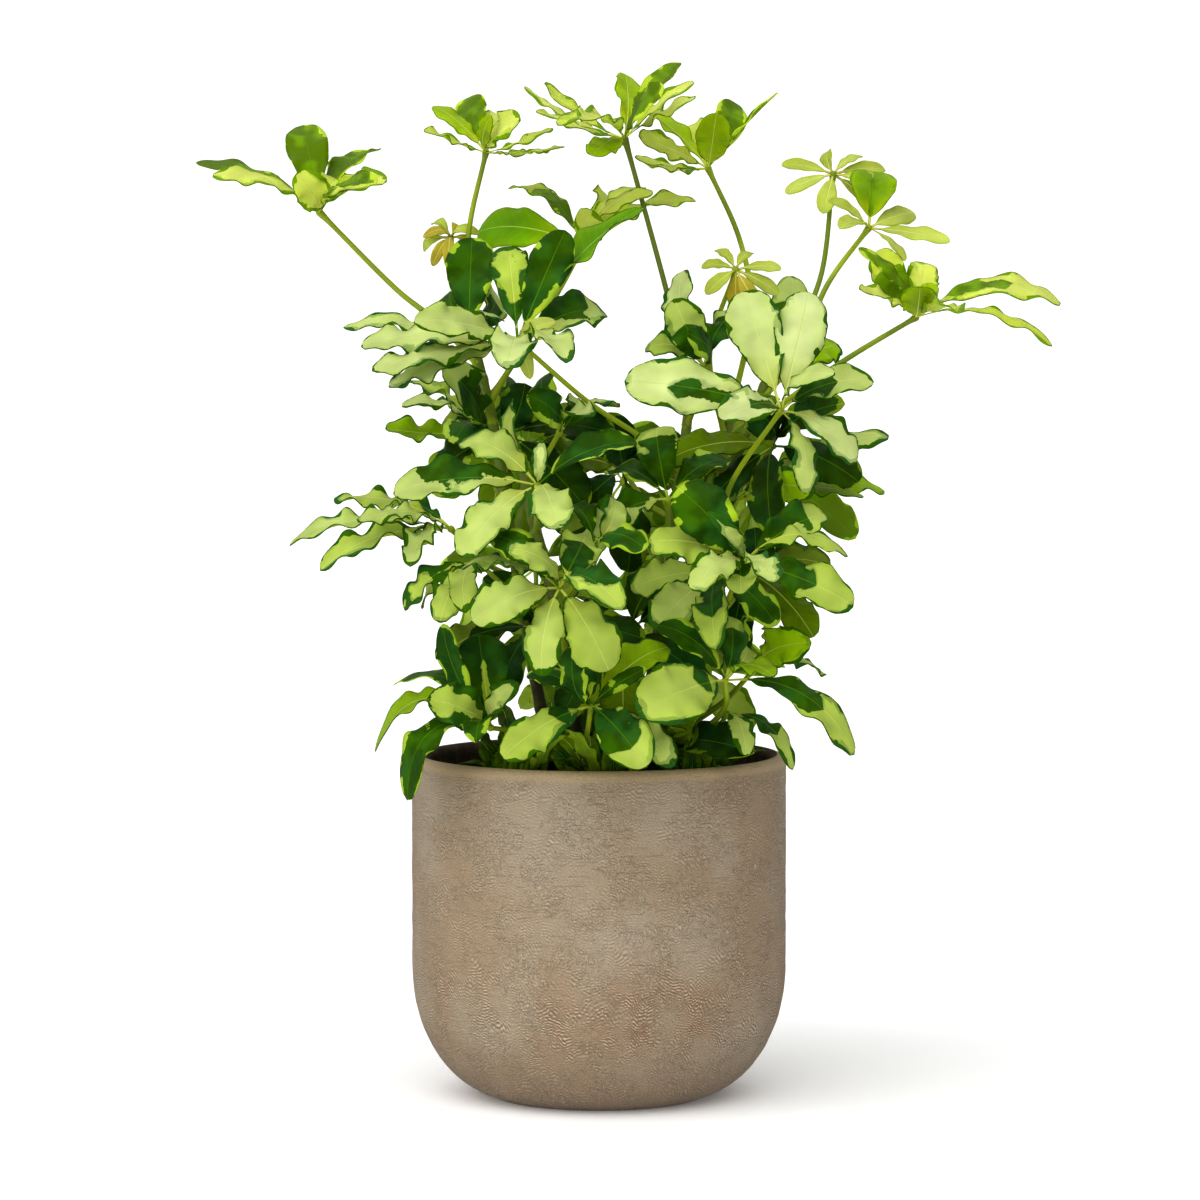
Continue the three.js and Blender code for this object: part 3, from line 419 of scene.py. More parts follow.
def smooth_path(points: list[Point], count: int) -> Point:
    """Draws a centripetal Catmull-Rom curve.

    Args:
        points: The points that it passes.
        count: How many even steps of its parameter.

    Returns:
        count + 1 points along it.
    """
    p = [np.asarray(q, float) for q in points]
    p = [2 * p[0] - p[1], *p, 2 * p[-1] - p[-2]]
    spans = len(points) - 1
    found = []
    for step in range(count + 1):
        at = min(spans * step / count, spans - 1e-9)
        i = int(at)
        w = at - i
        a, b, c, d = p[i : i + 4]
        t0, t1, t2 = (max(np.linalg.norm(v - u) ** 0.5, 1e-4) for u, v in ((a, b), (b, c), (c, d)))
        m1 = t1 * ((b - a) / t0 - (c - a) / (t0 + t1) + (c - b) / t1)
        m2 = t1 * ((c - b) / t1 - (d - b) / (t1 + t2) + (d - c) / t2)
        found.append(b + m1 * w + (3 * (c - b) - 2 * m1 - m2) * w**2 + (2 * (b - c) + m1 + m2) * w**3)
    return np.array(found)


def linear(hex_colour: str) -> tuple[float, ...]:
    """The linear colour of an sRGB hex value."""
    shares = [int(hex_colour[i : i + 2], 16) / 255 for i in (1, 3, 5)]
    return (*(c / 12.92 if c <= 0.04045 else ((c + 0.055) / 1.055) ** 2.4 for c in shares), 1.0)


# Short names of the nodes that are used most, each with its type and its own setting
SHORT_NAMES = {
    "*": ("Math", {"operation": "MULTIPLY"}),
    "+": ("Math", {"operation": "ADD"}),
    "-": ("Math", {"operation": "SUBTRACT"}),
    "*+": ("Math", {"operation": "MULTIPLY_ADD"}),
    "abs": ("Math", {"operation": "ABSOLUTE"}),
    "max": ("Math", {"operation": "MAXIMUM"}),
    "step": ("MapRange", {"interpolation_type": "SMOOTHSTEP"}),
    "blend": ("Mix", {"data_type": "RGBA"}),
}


def feed(socket: Socket, value: object) -> None:
    """Gives an input its value.

    Args:
        socket: The input.
        value: A number or vector, the hex text of a colour, or the output that feeds the input.
    """
    if isinstance(value, Socket):
        socket.id_data.links.new(value, socket)
    else:
        socket.default_value = linear(value) if isinstance(value, str) else value


def node(tree: bpy.types.NodeTree, kind: str, *values: object, out: str = "", **settings: object) -> Socket:
    """Adds a shader node.

    Args:
        tree: The node tree.
        kind: The node's type without its ShaderNode prefix, or one of SHORT_NAMES.
        values: What its inputs take, in their order.
        out: The output that is wanted, where it isn't the first.
        settings: The node's own properties and, with a capital, further inputs by their names.

    Returns:
        The wanted output.
    """
    kind, own = SHORT_NAMES.get(kind, (kind, {}))
    made = tree.nodes.new(f"ShaderNode{kind}")
    for key, value in {**own, **settings}.items():
        if key[0].isupper():
            feed(made.inputs[key], value)
        else:
            setattr(made, key, value)
    for socket, value in zip([s for s in made.inputs if s.enabled], values):
        feed(socket, value)
    return made.outputs[out] if out else next(s for s in made.outputs if s.enabled)


@dataclass(frozen=True)
class Finish:
    """A finish, drawn with nodes by each of its kinds: its name, its gloss, and the strength and the depth in
    millimetres of its relief."""

    name: str
    roughness: float = 0.9
    specular: float = 0.5
    relief: float = 0.0
    relief_mm: float = 1.0

    def sockets(self, add: Add) -> dict[str, object]:
        """Draws the finish.

        Args:
            add: The function node on this material's tree.

        Returns:
            What the inputs of the Principled shader take, by their names, and the Height of the relief.
        """
        raise NotImplementedError

    def material(self) -> Material:
        """Builds the material.

        Returns:
            The new material.
        """
        material = bpy.data.materials.new(self.name)
        material.use_nodes = True
        add = partial(node, material.node_tree)
        values = {"Roughness": self.roughness, "Specular IOR Level": self.specular, **self.sockets(add)}
        height = values.pop("Height", None)
        if height:
            values["Normal"] = add("Bump", Height=height, Strength=self.relief, Distance=self.relief_mm * MM)
        shader = material.node_tree.nodes["Principled BSDF"]
        for key, value in values.items():
            feed(shader.inputs[key], value)
        return material


@dataclass(frozen=True, kw_only=True)
class LeatheryLeaf(Finish):
    """A face of a living leaf: a waxy skin over two tissues, so that pale ground and dark green meet in
    sharp, jagged lines, with a pale midrib and faint side veins. The lower face is matt, as under a veil."""

    veil: float
    glow: float
    relief: float = 0.6
    relief_mm: float = 0.8
    veil_colour: str = "#a6bf2c"
    cool_green: str = "#17502c"
    rib_on_ground: str = "#cfdc74"
    rib_on_dark: str = "#5f8c14"
    gloss_colour: str = "#cfe436"
    vein_spacing_mm: float = 4.6
    jag_mm: float = 2.6
    patch_mm: float = 11.0
    cloud_mm: float = 26.0
    glow_mm: float = 1.4

    def sockets(self, add: Add) -> dict[str, object]:
        """Draws the tissues and veins from the blade's own attributes, which are in millimetres.

        Args:
            add: The function node on this material's tree.

        Returns:
            The inputs of the Principled shader, and the Height of the relief.
        """
        stored = partial(add, "Attribute")
        numbers = ("edge_mm", "rib_mm", "coolness")
        flat, widths = (stored(out="Vector", attribute_name=name) for name in ("flat_mm", "pattern"))
        edge, rib_width, coolness = (stored(out="Fac", attribute_name=name) for name in numbers)
        # The ground and the dark green come with the painted shade, sunlight and sheen of the leaf's place
        ground, tone = (stored(out="Color", attribute_name=name) for name in ("ground", "painted_patch_green"))
        margin, centre, shift = (add("SeparateXYZ", widths, out=axis) for axis in "XYZ")
        along, across = (add("SeparateXYZ", flat, out=axis) for axis in "XY")
        sizes = ((self.jag_mm, 3.0), (self.patch_mm, 1.0), (self.cloud_mm, 2.0))
        jag, patch, cloud = (add("TexNoise", flat, 1 / size, detail) for size, detail in sizes)
        # The margin: a dark rim, or a pale one, as wide as its attribute says and ragged on its inside
        wide = add("*+", add("step", patch, 0.46, 0.66), 2.4, add("*+", jag, 2.4, -0.75))
        wide = add("*+", add("step", margin, 0.1, -0.1), -0.7, wide)
        reach = add("*", add("abs", margin), wide)
        border = add("step", add("-", reach, edge), -0.12, 0.12)
        rim = add("*", border, add("step", margin, -0.1, 0.1))
        # The heart, with a half dark halo beside it and inside the margin
        rough_edge = add("*+", jag, 0.9, add("*+", patch, 2.6, -0.55))
        away = add("abs", add("-", across, shift))
        inside = add("-", add("*", add("abs", centre), rough_edge), add("+", away, 0.3))
        core = add("abs", add("-", add("step", centre, 0.0, -0.15), add("step", inside, -0.15, 0.15)))
        near = add("*", add("step", inside, -2.6, -0.4), add("step", centre, 0.1, 0.8))
        band = add("-", add("*+", patch, 5.0, reach), add("+", edge, 0.9))
        band = add("*", add("step", band, -0.15, 0.15), add("step", margin, 0.2, 0.6))
        band = add("*", band, add("step", cloud, 0.5, 0.55))
        halo = add("max", add("*", near, add("step", cloud, 0.48, 0.54)), band)
        green = add("max", add("max", rim, core), add("*", halo, 0.42))
        green = add("*", green, add("-", 1.0, add("-", border, rim)))
        # Both tissues are clouded, and the dark one turns cool in places
        light = add("*+", cloud, 0.9, add("*+", patch, 0.4, 0.35))
        depth = add("*+", add("step", patch, 0.4, 0.6), 0.5, 0.7)
        tone = add("blend", add("*", add("step", cloud, 0.42, 0.6), coolness), tone, self.cool_green)
        pale, dark = (add("HueSaturation", Value=v, Color=c) for v, c in ((light, ground), (depth, tone)))
        # The midrib and the slanting side veins
        middle = add("abs", across)
        rib = add("step", middle, add("*", rib_width, 1.4), add("*", rib_width, 0.5))
        slant = add("*+", middle, -0.8, along)
        comb = add("Math", slant, self.vein_spacing_mm / 2, operation="PINGPONG")
        lines = add("max", rib, add("*", add("step", comb, 0.6, 0.05), 0.07))
        rib_colour = add("blend", green, self.rib_on_ground, self.rib_on_dark)
        veined = add("blend", add("*", lines, 0.6), add("blend", green, pale, dark), rib_colour)
        return {
            "Base Color": add("blend", self.veil, veined, self.veil_colour),
            "Height": add("*+", lines, -0.6, add("*+", cloud, 1.2, add("*", patch, 1.3))),
            "Specular Tint": self.gloss_colour,
            "Subsurface Weight": self.glow,
            "Subsurface Radius": (0.7, 1.0, 0.12),
            "Subsurface Scale": self.glow_mm * MM,
        }


@dataclass(frozen=True, kw_only=True)
class GreenStalk(Finish):
    """A petiole's smooth living skin, light green with soft duller lengths."""

    light: str = "#98a81e"
    dull: str = "#728616"
    length_mm: float = 30.0
    roughness: float = 0.45
    specular: float = 0.3

    def sockets(self, add: Add) -> dict[str, object]:
        """Draws the duller lengths."""
        cloud = add("TexNoise", add("TexCoord", out="Object"), 1 / (self.length_mm * MM), 1.0)
        return {"Base Color": add("blend", add("step", cloud, 0.35, 0.65), self.light, self.dull)}


@dataclass(frozen=True, kw_only=True)
class YoungBark(Finish):
    """Thin smooth bark of a young stem: green near its top, olive brown and finely cracked near the soil."""

    green: str = "#66761a"
    olive: str = "#50561a"
    brown: str = "#3d3420"
    grain_mm: float = 5.0
    green_from_m: float = 0.33
    brown_to_m: float = 0.2
    roughness: float = 0.6
    relief: float = 0.5
    relief_mm: float = 0.5

    def sockets(self, add: Add) -> dict[str, object]:
        """Draws the cracked grain and turns it green by height.

        Args:
            add: The function node on this material's tree.

        Returns:
            The inputs of the Principled shader, and the Height of the relief.
        """
        where = add("TexCoord", out="Object")
        grain = add("TexNoise", where, 1 / (self.grain_mm * MM), 4.0)
        old = add("blend", add("step", grain, 0.35, 0.65), self.olive, self.brown)
        age = add("step", add("SeparateXYZ", where, out="Z"), self.brown_to_m, self.green_from_m)
        return {"Base Color": add("blend", age, old, self.green), "Height": grain}


@dataclass(frozen=True, kw_only=True)
class BrushedStoneware(Finish):
    """Unglazed stoneware under a wiped slip: fine raised ridges that run together like a fingerprint,
    strongest in a band above the foot and paler on their crests, a few long scratches, grey mottling and warm
    clouds over a taupe body, lighter grey clouds of painted sheen where the light falls on the wall, and a
    paler lip that is a painted highlight. A cloud is (around, up, radius) in millimetres on the wall."""

    taupe: str = "#958169"
    grey_and_sheen: str = "#a09583"
    warm: str = "#8b6b50"
    foot: str = "#8a7661"
    crest: str = "#d4c3aa"
    groove: str = "#614e39"
    # The lip's paler colour is a painted highlight of the light from above
    lip: str = "#a99476"
    roughness: float = 0.52
    specular: float = 0.35
    relief: float = 1.0
    relief_mm: float = 0.8
    radius_mm: float = 95.0
    ridge_cell_mm: float = 5.0
    ridge_period_mm: float = 1.5
    ridge_slant: float = 78.0
    worms_per_mm: float = 0.3
    lip_from_mm: float = 170.0
    # Lighter grey clouds of painted sheen, where the light falls on the wall
    sheen_clouds: tuple[Place, ...] = ((-26.0, 146.0, 58.0), (34.0, 152.0, 36.0), (48.0, 86.0, 34.0))
    warm_clouds: tuple[Place, ...] = ((22.0, 54.0, 40.0), (52.0, 50.0, 26.0))

    def clouds(self, add: Add, wall: Socket, places: tuple[Place, ...]) -> Socket:
        """Draws soft round clouds on the wall.

        Args:
            add: The function node on this material's tree.
            wall: The place on the unrolled wall.
            places: Where the clouds are.

        Returns:
            Their strength at each place, from 0 to 1.
        """
        total = 0.0
        for around, up, reach in places:
            away = add("VectorMath", wall, (around, up, 0.0), operation="DISTANCE")
            total = add("max", total, add("step", away, reach, reach * 0.2))
        return total

    def sockets(self, add: Add) -> dict[str, object]:
        """Draws the slip on the wall unrolled about the pot's axis, in millimetres.

        Args:
            add: The function node on this material's tree.

        Returns:
            The inputs of the Principled shader, and the Height of the relief.
        """
        where = add("TexCoord", out="Object")
        x, y, z = (add("SeparateXYZ", where, out=axis) for axis in "XYZ")
        angle = add("Math", x, add("*", y, -1.0), operation="ARCTAN2")
        up = add("*", z, 1 / MM)
        wall = add("CombineXYZ", add("*", angle, self.radius_mm), up)
        warp = add("TexNoise", wall, 0.06, 1.0, out="Color")
        bent = add("VectorMath", warp, (9.0, 9.0, 0.0), wall, operation="MULTIPLY_ADD")
        cell = self.ridge_cell_mm
        slant = math.radians(self.ridge_slant)
        ridges = add("TexGabor", bent, 1 / cell, cell / self.ridge_period_mm, 0.55, slant)
        fine, patches = add("TexNoise", wall, 0.9, 3.0), add("TexNoise", wall, 0.07, 2.0)
        # Ridges are strongest in the band above the foot, come in patches and end below the lip
        low_band = add("*", add("step", up, 24.0, 44.0), add("step", up, 84.0, 56.0))
        body_share = add("step", up, self.lip_from_mm + 1, self.lip_from_mm - 3)
        patchy = add("*+", add("step", patches, 0.4, 0.6), 0.7, 0.3)
        strength = add("*", add("*", add("*+", low_band, 0.5, 0.5), patchy), body_share)
        raised = add("*", add("step", ridges, 0.54, 0.66), strength)
        sunk = add("*", add("step", ridges, 0.5, 0.36), strength)
        # Long scratches run almost level round the wall, and worm-like lines wind over it
        streaks = add("Mapping", wall, Rotation=(0, 0, 0.1), Scale=(0.05, 0.9, 1.0))
        scratch = add("step", add("TexNoise", streaks, 1.0, 1.0), 0.64, 0.72)
        scratch = add("*", scratch, add("*", body_share, 0.5))
        worm = add("TexNoise", wall, self.worms_per_mm, 2.0, Distortion=1.2)
        worm = add("*", add("step", add("abs", add("-", worm, 0.5)), 0.045, 0.008), body_share)
        rough = add("step", add("TexNoise", bent, 0.045, 3.0), 0.42, 0.6)
        worm = add("*", worm, add("*+", rough, 0.85, 0.15))
        # The colour: grey mottling, painted sheen and warm clouds on the body, then the foot, the lip as a
        # painted highlight, the grooves and all that stands proud
        spread = add("TexNoise", where, 17.0, 3.0)
        # Grey mottling at random, and painted sheen in the fixed clouds
        grey_and_sheen_share = add("*", self.clouds(add, wall, self.sheen_clouds), 0.6)
        grey_and_sheen_share = add("max", add("*", add("step", spread, 0.45, 0.65), 0.6), grey_and_sheen_share)
        warm_share = add("*", add("*", add("step", spread, 0.52, 0.4), low_band), 0.5)
        warm_share = add("max", warm_share, self.clouds(add, wall, self.warm_clouds))
        crests = add("max", add("*", raised, 0.7), add("*", scratch, 0.5))
        layers = (
            (grey_and_sheen_share, self.grey_and_sheen),
            (add("*", warm_share, add("*+", patches, 1.6, -0.3)), self.warm),
            (add("*", add("step", up, 46.0, 8.0), 0.8), self.foot),
            (add("-", 1.0, body_share), self.lip),
            (add("*", sunk, 0.5), self.groove),
            (add("max", crests, add("*", worm, 0.35)), self.crest),
        )
        colour = self.taupe
        for share, over in layers:
            colour = add("blend", share, colour, over)
        wrinkle = add("*+", worm, 0.6, add("*+", ridges, strength, add("*", fine, 0.6)))
        mottled = add("HueSaturation", Value=add("*+", fine, 0.5, 0.75), Color=colour)
        return {"Base Color": mottled, "Height": add("+", wrinkle, scratch)}


@dataclass(frozen=True, kw_only=True)
class EarthyMatter(Finish):
    """A rough crumbly matter of two close tones: the potting mix, and the darker bare clay inside the pot."""

    light: str
    dark: str
    grain_mm: float
    relief: float = 0.8

    def sockets(self, add: Add) -> dict[str, object]:
        """Draws the grain.

        Args:
            add: The function node on this material's tree.

        Returns:
            The inputs of the Principled shader, and the Height of the relief.
        """
        grain = add("TexNoise", add("TexCoord", out="Object"), 1 / (self.grain_mm * MM), 4.0)
        colour = add("blend", add("step", grain, 0.38, 0.62), self.dark, self.light)
        return {"Base Color": colour, "Height": grain}


@dataclass(frozen=True, kw_only=True)
class PalePaper(Finish):
    """Matt white paper of a studio floor, with a little light of its own that thins the shadows."""

    glow: float
    specular: float = 0.0

    def sockets(self, add: Add) -> dict[str, object]:
        """Gives the plain paper."""
        return {"Base Color": "#fbfbfb", "Emission Color": "#ffffff", "Emission Strength": self.glow}


def only_select(*pieces: Piece) -> None:
    """Selects some pieces alone.

    Args:
        pieces: The pieces, of which the first becomes the active one.
    """
    bpy.ops.object.select_all(action="DESELECT")
    for piece in pieces:
        piece.select_set(True)
    bpy.context.view_layer.objects.active = pieces[0] if pieces else None


def placed(name: str, data: bpy.types.ID) -> Piece:
    """Puts a mesh or a curve into the scene.

    Args:
        name: The new object's name.
        data: The mesh or curve.

    Returns:
        The new object.
    """
    piece = bpy.data.objects.new(name, data)
    bpy.context.scene.collection.objects.link(piece)
    return piece


def cast(master: Piece, corners: Point) -> Piece:
    """Copies a master piece into another shape.

    Args:
        master: The piece that is copied.
        corners: Where its corners go, in millimetres.

    Returns:
        The copy, with its own mesh.
    """
    copy = placed(master.name, master.data.copy())
    copy.data.vertices.foreach_set("co", (corners * MM).ravel())
    return copy


def joined(pieces: list[Piece], name: str, *finishes: Material) -> Piece:
    """Joins pieces into the first of them.

    Args:
        pieces: The pieces.
        name: The name of the whole.
        finishes: Its materials, where they take the place of the pieces' own.

    Returns:
        The whole.
    """
    only_select(*pieces)
    if len(pieces) > 1:
        bpy.ops.object.join()
    whole = bpy.context.view_layer.objects.active
    whole.name = whole.data.name = name
    if finishes:
        whole.data.materials.clear()
    for finish in finishes:
        whole.data.materials.append(finish)
    return whole


def rod(path: Point, radii: Point, resolution: int) -> Piece:
    """Makes a round rod.

    Args:
        path: The points of its centre line, in millimetres.
        radii: Its radius at each point, in millimetres.
        resolution: How many steps make a quarter of its round, less one.

    Returns:
        The rod as a closed mesh.
    """
    curve = bpy.data.curves.new("rod", "CURVE")
    curve.dimensions = "3D"
    curve.bevel_depth = MM
    curve.bevel_resolution = resolution
    curve.use_fill_caps = True
    spline = curve.splines.new("POLY")
    spline.points.add(len(path) - 1)
    spline.points.foreach_set("co", np.column_stack([path * MM, np.ones(len(path))]).ravel())
    spline.points.foreach_set("radius", radii)
    only_select(placed("rod", curve))
    bpy.ops.object.convert(target="MESH")
    return bpy.context.active_object


def edit_all(piece: Piece, *steps: Callable[[], object]) -> None:
    """Shapes a whole piece in edit mode, and turns its faces outwards at the end.

    Args:
        piece: The piece.
        steps: The operators, each run with all of the piece selected.
    """
    only_select(piece)
    bpy.ops.object.mode_set(mode="EDIT")
    for step in (*steps, partial(bpy.ops.mesh.normals_make_consistent, inside=False)):
        bpy.ops.mesh.select_all(action="SELECT")
        step()
    bpy.ops.object.mode_set(mode="OBJECT")


def apply_modifier(piece: Piece, kind: str, **settings: object) -> None:
    """Adds a modifier and applies it.

    Args:
        piece: The piece.
        kind: The modifier's type.
        settings: The modifier's properties.
    """
    only_select(piece)
    bpy.ops.object.modifier_add(type=kind)
    modifier = piece.modifiers[-1]
    for key, value in settings.items():
        setattr(modifier, key, value)
    bpy.ops.object.modifier_apply(modifier=modifier.name)


def lump(piece: Piece, name: str, grain: float, depth: int, height: float, **settings: object) -> None:
    """Raises soft lumps on a piece.

    Args:
        piece: The piece.
        name: The name of their texture.
        grain: How wide they are, in millimetres.
        depth: How many finer layers of them there are.
        height: How high they stand, in millimetres.
        settings: The Displace modifier's further properties.
    """
    texture = bpy.data.textures.new(name, "CLOUDS")
    texture.noise_scale = grain * MM
    texture.noise_depth = depth
    apply_modifier(piece, "DISPLACE", texture=texture, strength=height * MM, **settings)


def stand_for(piece: Piece, cad_node: str) -> None:
    """Puts a finished piece on the body in place of its CAD node.

    Args:
        piece: The piece.
        cad_node: The name of the CAD node.
    """
    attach(piece, BODY)
    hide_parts(cad_node)
    LOG.info("%s: %d faces", piece.name, len(piece.data.polygons))


@dataclass
class SolidIndex:
    """The corners of one CAD node, to read back how its leaflets and petiole were bent.

    A petiole's path is judged without its end points, by its nearest gap and a share of its usual one.
    """

    name: str
    end_points: int = 3
    usual_weight: float = 0.3
    tree: KDTree = field(init=False)

    def __post_init__(self) -> None:
        """Indexes the node's corners."""
        corners = bpy.data.objects[self.name].data.vertices
        self.tree = KDTree(len(corners))
        for i, corner in enumerate(corners):
            self.tree.insert(corner.co, i)
        self.tree.balance()

    def gap_mm(self, point_mm: Point) -> float:
        """Distance from a point to the nearest corner, in millimetres."""
        return self.tree.find(Vector(point_mm * MM))[2] / MM

    def misfit_mm(self, path: Point) -> float:
        """How badly a petiole's path fits the node's."""
        gaps = [self.gap_mm(p) for p in path[self.end_points : -self.end_points]]
        return min(gaps) + self.usual_weight * abs(np.median(gaps))


@dataclass(frozen=True)
class BladeShape:
    """How one leaflet lies: its ends in millimetres, facing, turn, width, arch, seed and variegation."""

    hub: Point
    tip: Point
    facing: Facing
    turn: float
    width: float
    bow: float
    seed: int
    variegation: Variegation
    tone: PaintedLight
    ruffle: float

    def axes(self) -> tuple[Point, Point]:
        """Works out how the blade is turned.

        Returns:
            The directions out of its face and to its right.
        """
        along = unit(self.tip - self.hub)
        front = np.array(self.facing.value)
        front = unit(front - along * front.dot(along))
        side = np.cross(along, front)
        outward = math.copysign(1.0, along[0]) if along[0] else 1.0
        if side[2] + 0.5 * outward * side[0] < 0:
            side = -side
        turn = math.radians(self.turn)
        face = front * math.cos(turn) + side * math.sin(turn)
        return face, np.cross(along, face)


@dataclass
class BladeMaker:
    """Makes leaflets from one master grid: a stalk, then a blade with waved and lobed edges.

    Sizes are in millimetres and shares are of the length. A lobe is (swing as a share of the half width,
    lobes in a blade).
    """

    rows: int = 56
    columns: int = 8
    stalk_share: float = 0.15
    stalk_width: float = 1.3
    thickness: float = 0.45
    lobes: tuple[tuple[float, float], ...] = ((0.05, 2.6), (0.032, 6.1), (0.012, 12.0))
    wave_height: float = 2.4
    waves: float = 2.5
    ruffle_height: float = 1.9
    ruffles: float = 4.2
    full_width: float = 20.0
    curl: float = 5.0
    curl_from: float = 0.72
    fold_share: float = 0.25
    rib_width: float = 0.5
    rib_taper: float = 0.36
    fade_share: float = 0.08
    noise_step: float = 17.3
    # Heights in millimetres over which the painted sheen on pale tissue grows
    sheen_from_height: float = 230.0
    sheen_over_height: float = 110.0
    master: Piece = field(init=False)

    def __post_init__(self) -> None:
        """Adds the master grid, whose own corners run from 0 to 1 along and from -1 to 1 across."""
        only_select()
        bpy.ops.mesh.primitive_grid_add(x_subdivisions=self.columns, y_subdivisions=self.rows, size=2)
        self.master = bpy.context.active_object
        corners = np.array([v.co for v in self.master.data.vertices])
        self.across, self.share = corners[:, 0], (corners[:, 1] + 1) / 2
        self.along = np.clip((self.share - self.stalk_share) / (1 - self.stalk_share), 0, 1)

    def halves(self, shape: BladeShape, left: int, right: int) -> Point:
        """A chance at each corner, drawn for one purpose on the left half and another on the right."""
        return np.where(self.across < 0, chance(shape.seed, left), chance(shape.seed, right))

    def half_width(self, shape: BladeShape) -> Point:
        """Works out half the width of a leaflet: an even stalk, then a blade with lobed edges.

        Args:
            shape: How the leaflet lies.

        Returns:
            The half width at each corner of the grid, in millimetres.
        """
        blade = shape.width / 2 * np.abs(np.sin(math.pi * self.along**1.5)) ** 0.45
        half = np.maximum(np.where(self.share < 0.9, self.stalk_width / 2, 0.25), blade)
        first, second = TURN * self.halves(shape, 4, 6), TURN * self.halves(shape, 7, 9)
        lobed = 0.0
        for (swing, count), phase in zip(self.lobes, (first, second, 3 * first)):
            lobed = lobed + swing * np.sin(TURN * count * self.share + phase)
        lobed = 1 + shape.ruffle * lobed * np.clip((1 - self.share) / 0.18, 0, 1)
        return half * np.where(self.share > self.stalk_share, lobed, 1)

    def lift(self, shape: BladeShape, half: Point) -> Point:
        """Works out how a leaflet bends: its arch, the solid's waves, finer ruffles, a fold, a curled tip.

        Args:
            shape: How the leaflet lies.
            half: The half width at each corner.

        Returns:
            How far each corner stands out of the flat blade, in millimetres.
        """
        seed, along, share, out = shape.seed, self.along, self.share, np.abs(self.across)
        height = self.wave_height * (shape.width / self.full_width) * between(seed, 3, 0.6, 1.4)
        phase = TURN * self.halves(shape, 2, 1)
        wave = height * np.sin(math.pi * along) * np.sin(TURN * self.waves * along + phase)
        wave = min(1.0, 0.4 + shape.ruffle) * wave
        height = self.ruffle_height * shape.ruffle * (0.55 + 0.65 * self.halves(shape, 14, 16))
        height = height * min(1.0, shape.width / self.full_width)
        phase = TURN * self.halves(shape, 11, 13)
        swing = TURN * self.ruffles * along + phase + np.sin(TURN * along + 2 * phase)
        fine = height * np.sin(math.pi * along) ** 0.5 * np.sin(swing)
        fold = self.fold_share * half * out**1.4 * between(seed, 20, -0.6, 1.4)
        curl = self.curl * (0.3 + 0.7 * shape.ruffle) * between(seed, 21, -0.15, 0.85)
        curl = curl * np.clip((share - self.curl_from) / (1 - self.curl_from), 0, 1) ** 2
        return shape.bow * 4 * share * (1 - share) + (wave * out**1.6 + fine * out**3) + fold - curl

    def blade(self, shape: BladeShape) -> Piece:
        """Makes one leaflet as an open sheet.

        Args:
            shape: How the leaflet lies.

        Returns:
            The sheet, with attributes for its pattern.
        """
        face, right = shape.axes()
        half = self.half_width(shape)
        chord = shape.tip - shape.hub
        flat = shape.hub + np.outer(self.share, chord) + np.outer(self.across * half, right)
        piece = cast(self.master, flat + np.outer(self.lift(shape, half), face))
        self.mark(piece.data, shape, half, float(np.linalg.norm(chord)))
        return piece

    def mark(self, mesh: bpy.types.Mesh, shape: BladeShape, half: Point, length: float) -> None:
        """Stores the attributes that the leaf's materials read.

        Args:
            mesh: The leaflet's mesh.
            shape: How the leaflet lies.
            half: The half width at each corner, in millimetres.
            length: The leaflet's length in millimetres.
        """
        seed, share, across, pattern = shape.seed, self.share, self.across, shape.variegation.value
        start, end = pattern.start + between(seed, 32, 0.0, 0.1), pattern.end - between(seed, 33, 0.0, 0.12)
        fade_in = np.clip((share - start) / self.fade_share, 0, 1)
        fade_out = np.clip((end - share) / self.fade_share, 0, 1)
        centre = pattern.centre * between(seed, 31, 0.85, 1.15) * fade_in * fade_out
        if pattern.centre < 0:
            centre = np.minimum(centre, -0.2)
        shift = pattern.shift if chance(seed, 30) > 0.5 else -pattern.shift
        edge = np.minimum((1 - np.abs(across)) * half, (1 - share) * length)
        even = np.ones(len(share))
        # The ground and the patches' dark green carry the painted shade, sunlight and sheen of the leaf's
        # place
        layers = {
            "flat_mm": np.column_stack([share * length, across * half, even * (seed * self.noise_step)]),
            "pattern": np.column_stack([even * pattern.margin, centre, even * shift]),
            "edge_mm": np.where(share < self.stalk_share, 5.0, edge),
            "rib_mm": self.rib_width - self.rib_taper * share,
            "coolness": even * shape.tone.value.coolness,
            "ground": self.ground_colours(shape, pattern),
            "painted_patch_green": np.outer(even, linear(shape.tone.value.green)),
        }
        kinds = {1: ("FLOAT", "value"), 3: ("FLOAT_VECTOR", "vector"), 4: ("FLOAT_COLOR", "color")}
        for name, values in layers.items():
            kind, key = kinds[values.size // len(share)]
            mesh.attributes.new(name, kind, "POINT").data.foreach_set(key, values.ravel())

    def ground_colours(self, shape: BladeShape, pattern: Pattern) -> Point:
        """Works out the pale tissue's colour: yellower at the root, greener at the rim, whiter at random and
        with a painted sheen that grows with height, and tinted by the painted shade or sunlight of the leaf's
        place.

        Args:
            shape: How the leaflet lies.
            pattern: Its variegation.

        Returns:
            The linear colour at each corner.
        """
        young = shape.variegation in (Variegation.Y, Variegation.O)
        tissue, light = YOUNG_TISSUE if young else GROWN_TISSUE, shape.tone.value
        colours = (tissue.root, tissue.rim, pattern.ground, WHITE_AND_SHEEN)
        root, rim, middle, white = (np.array(linear(colour)) for colour in colours)
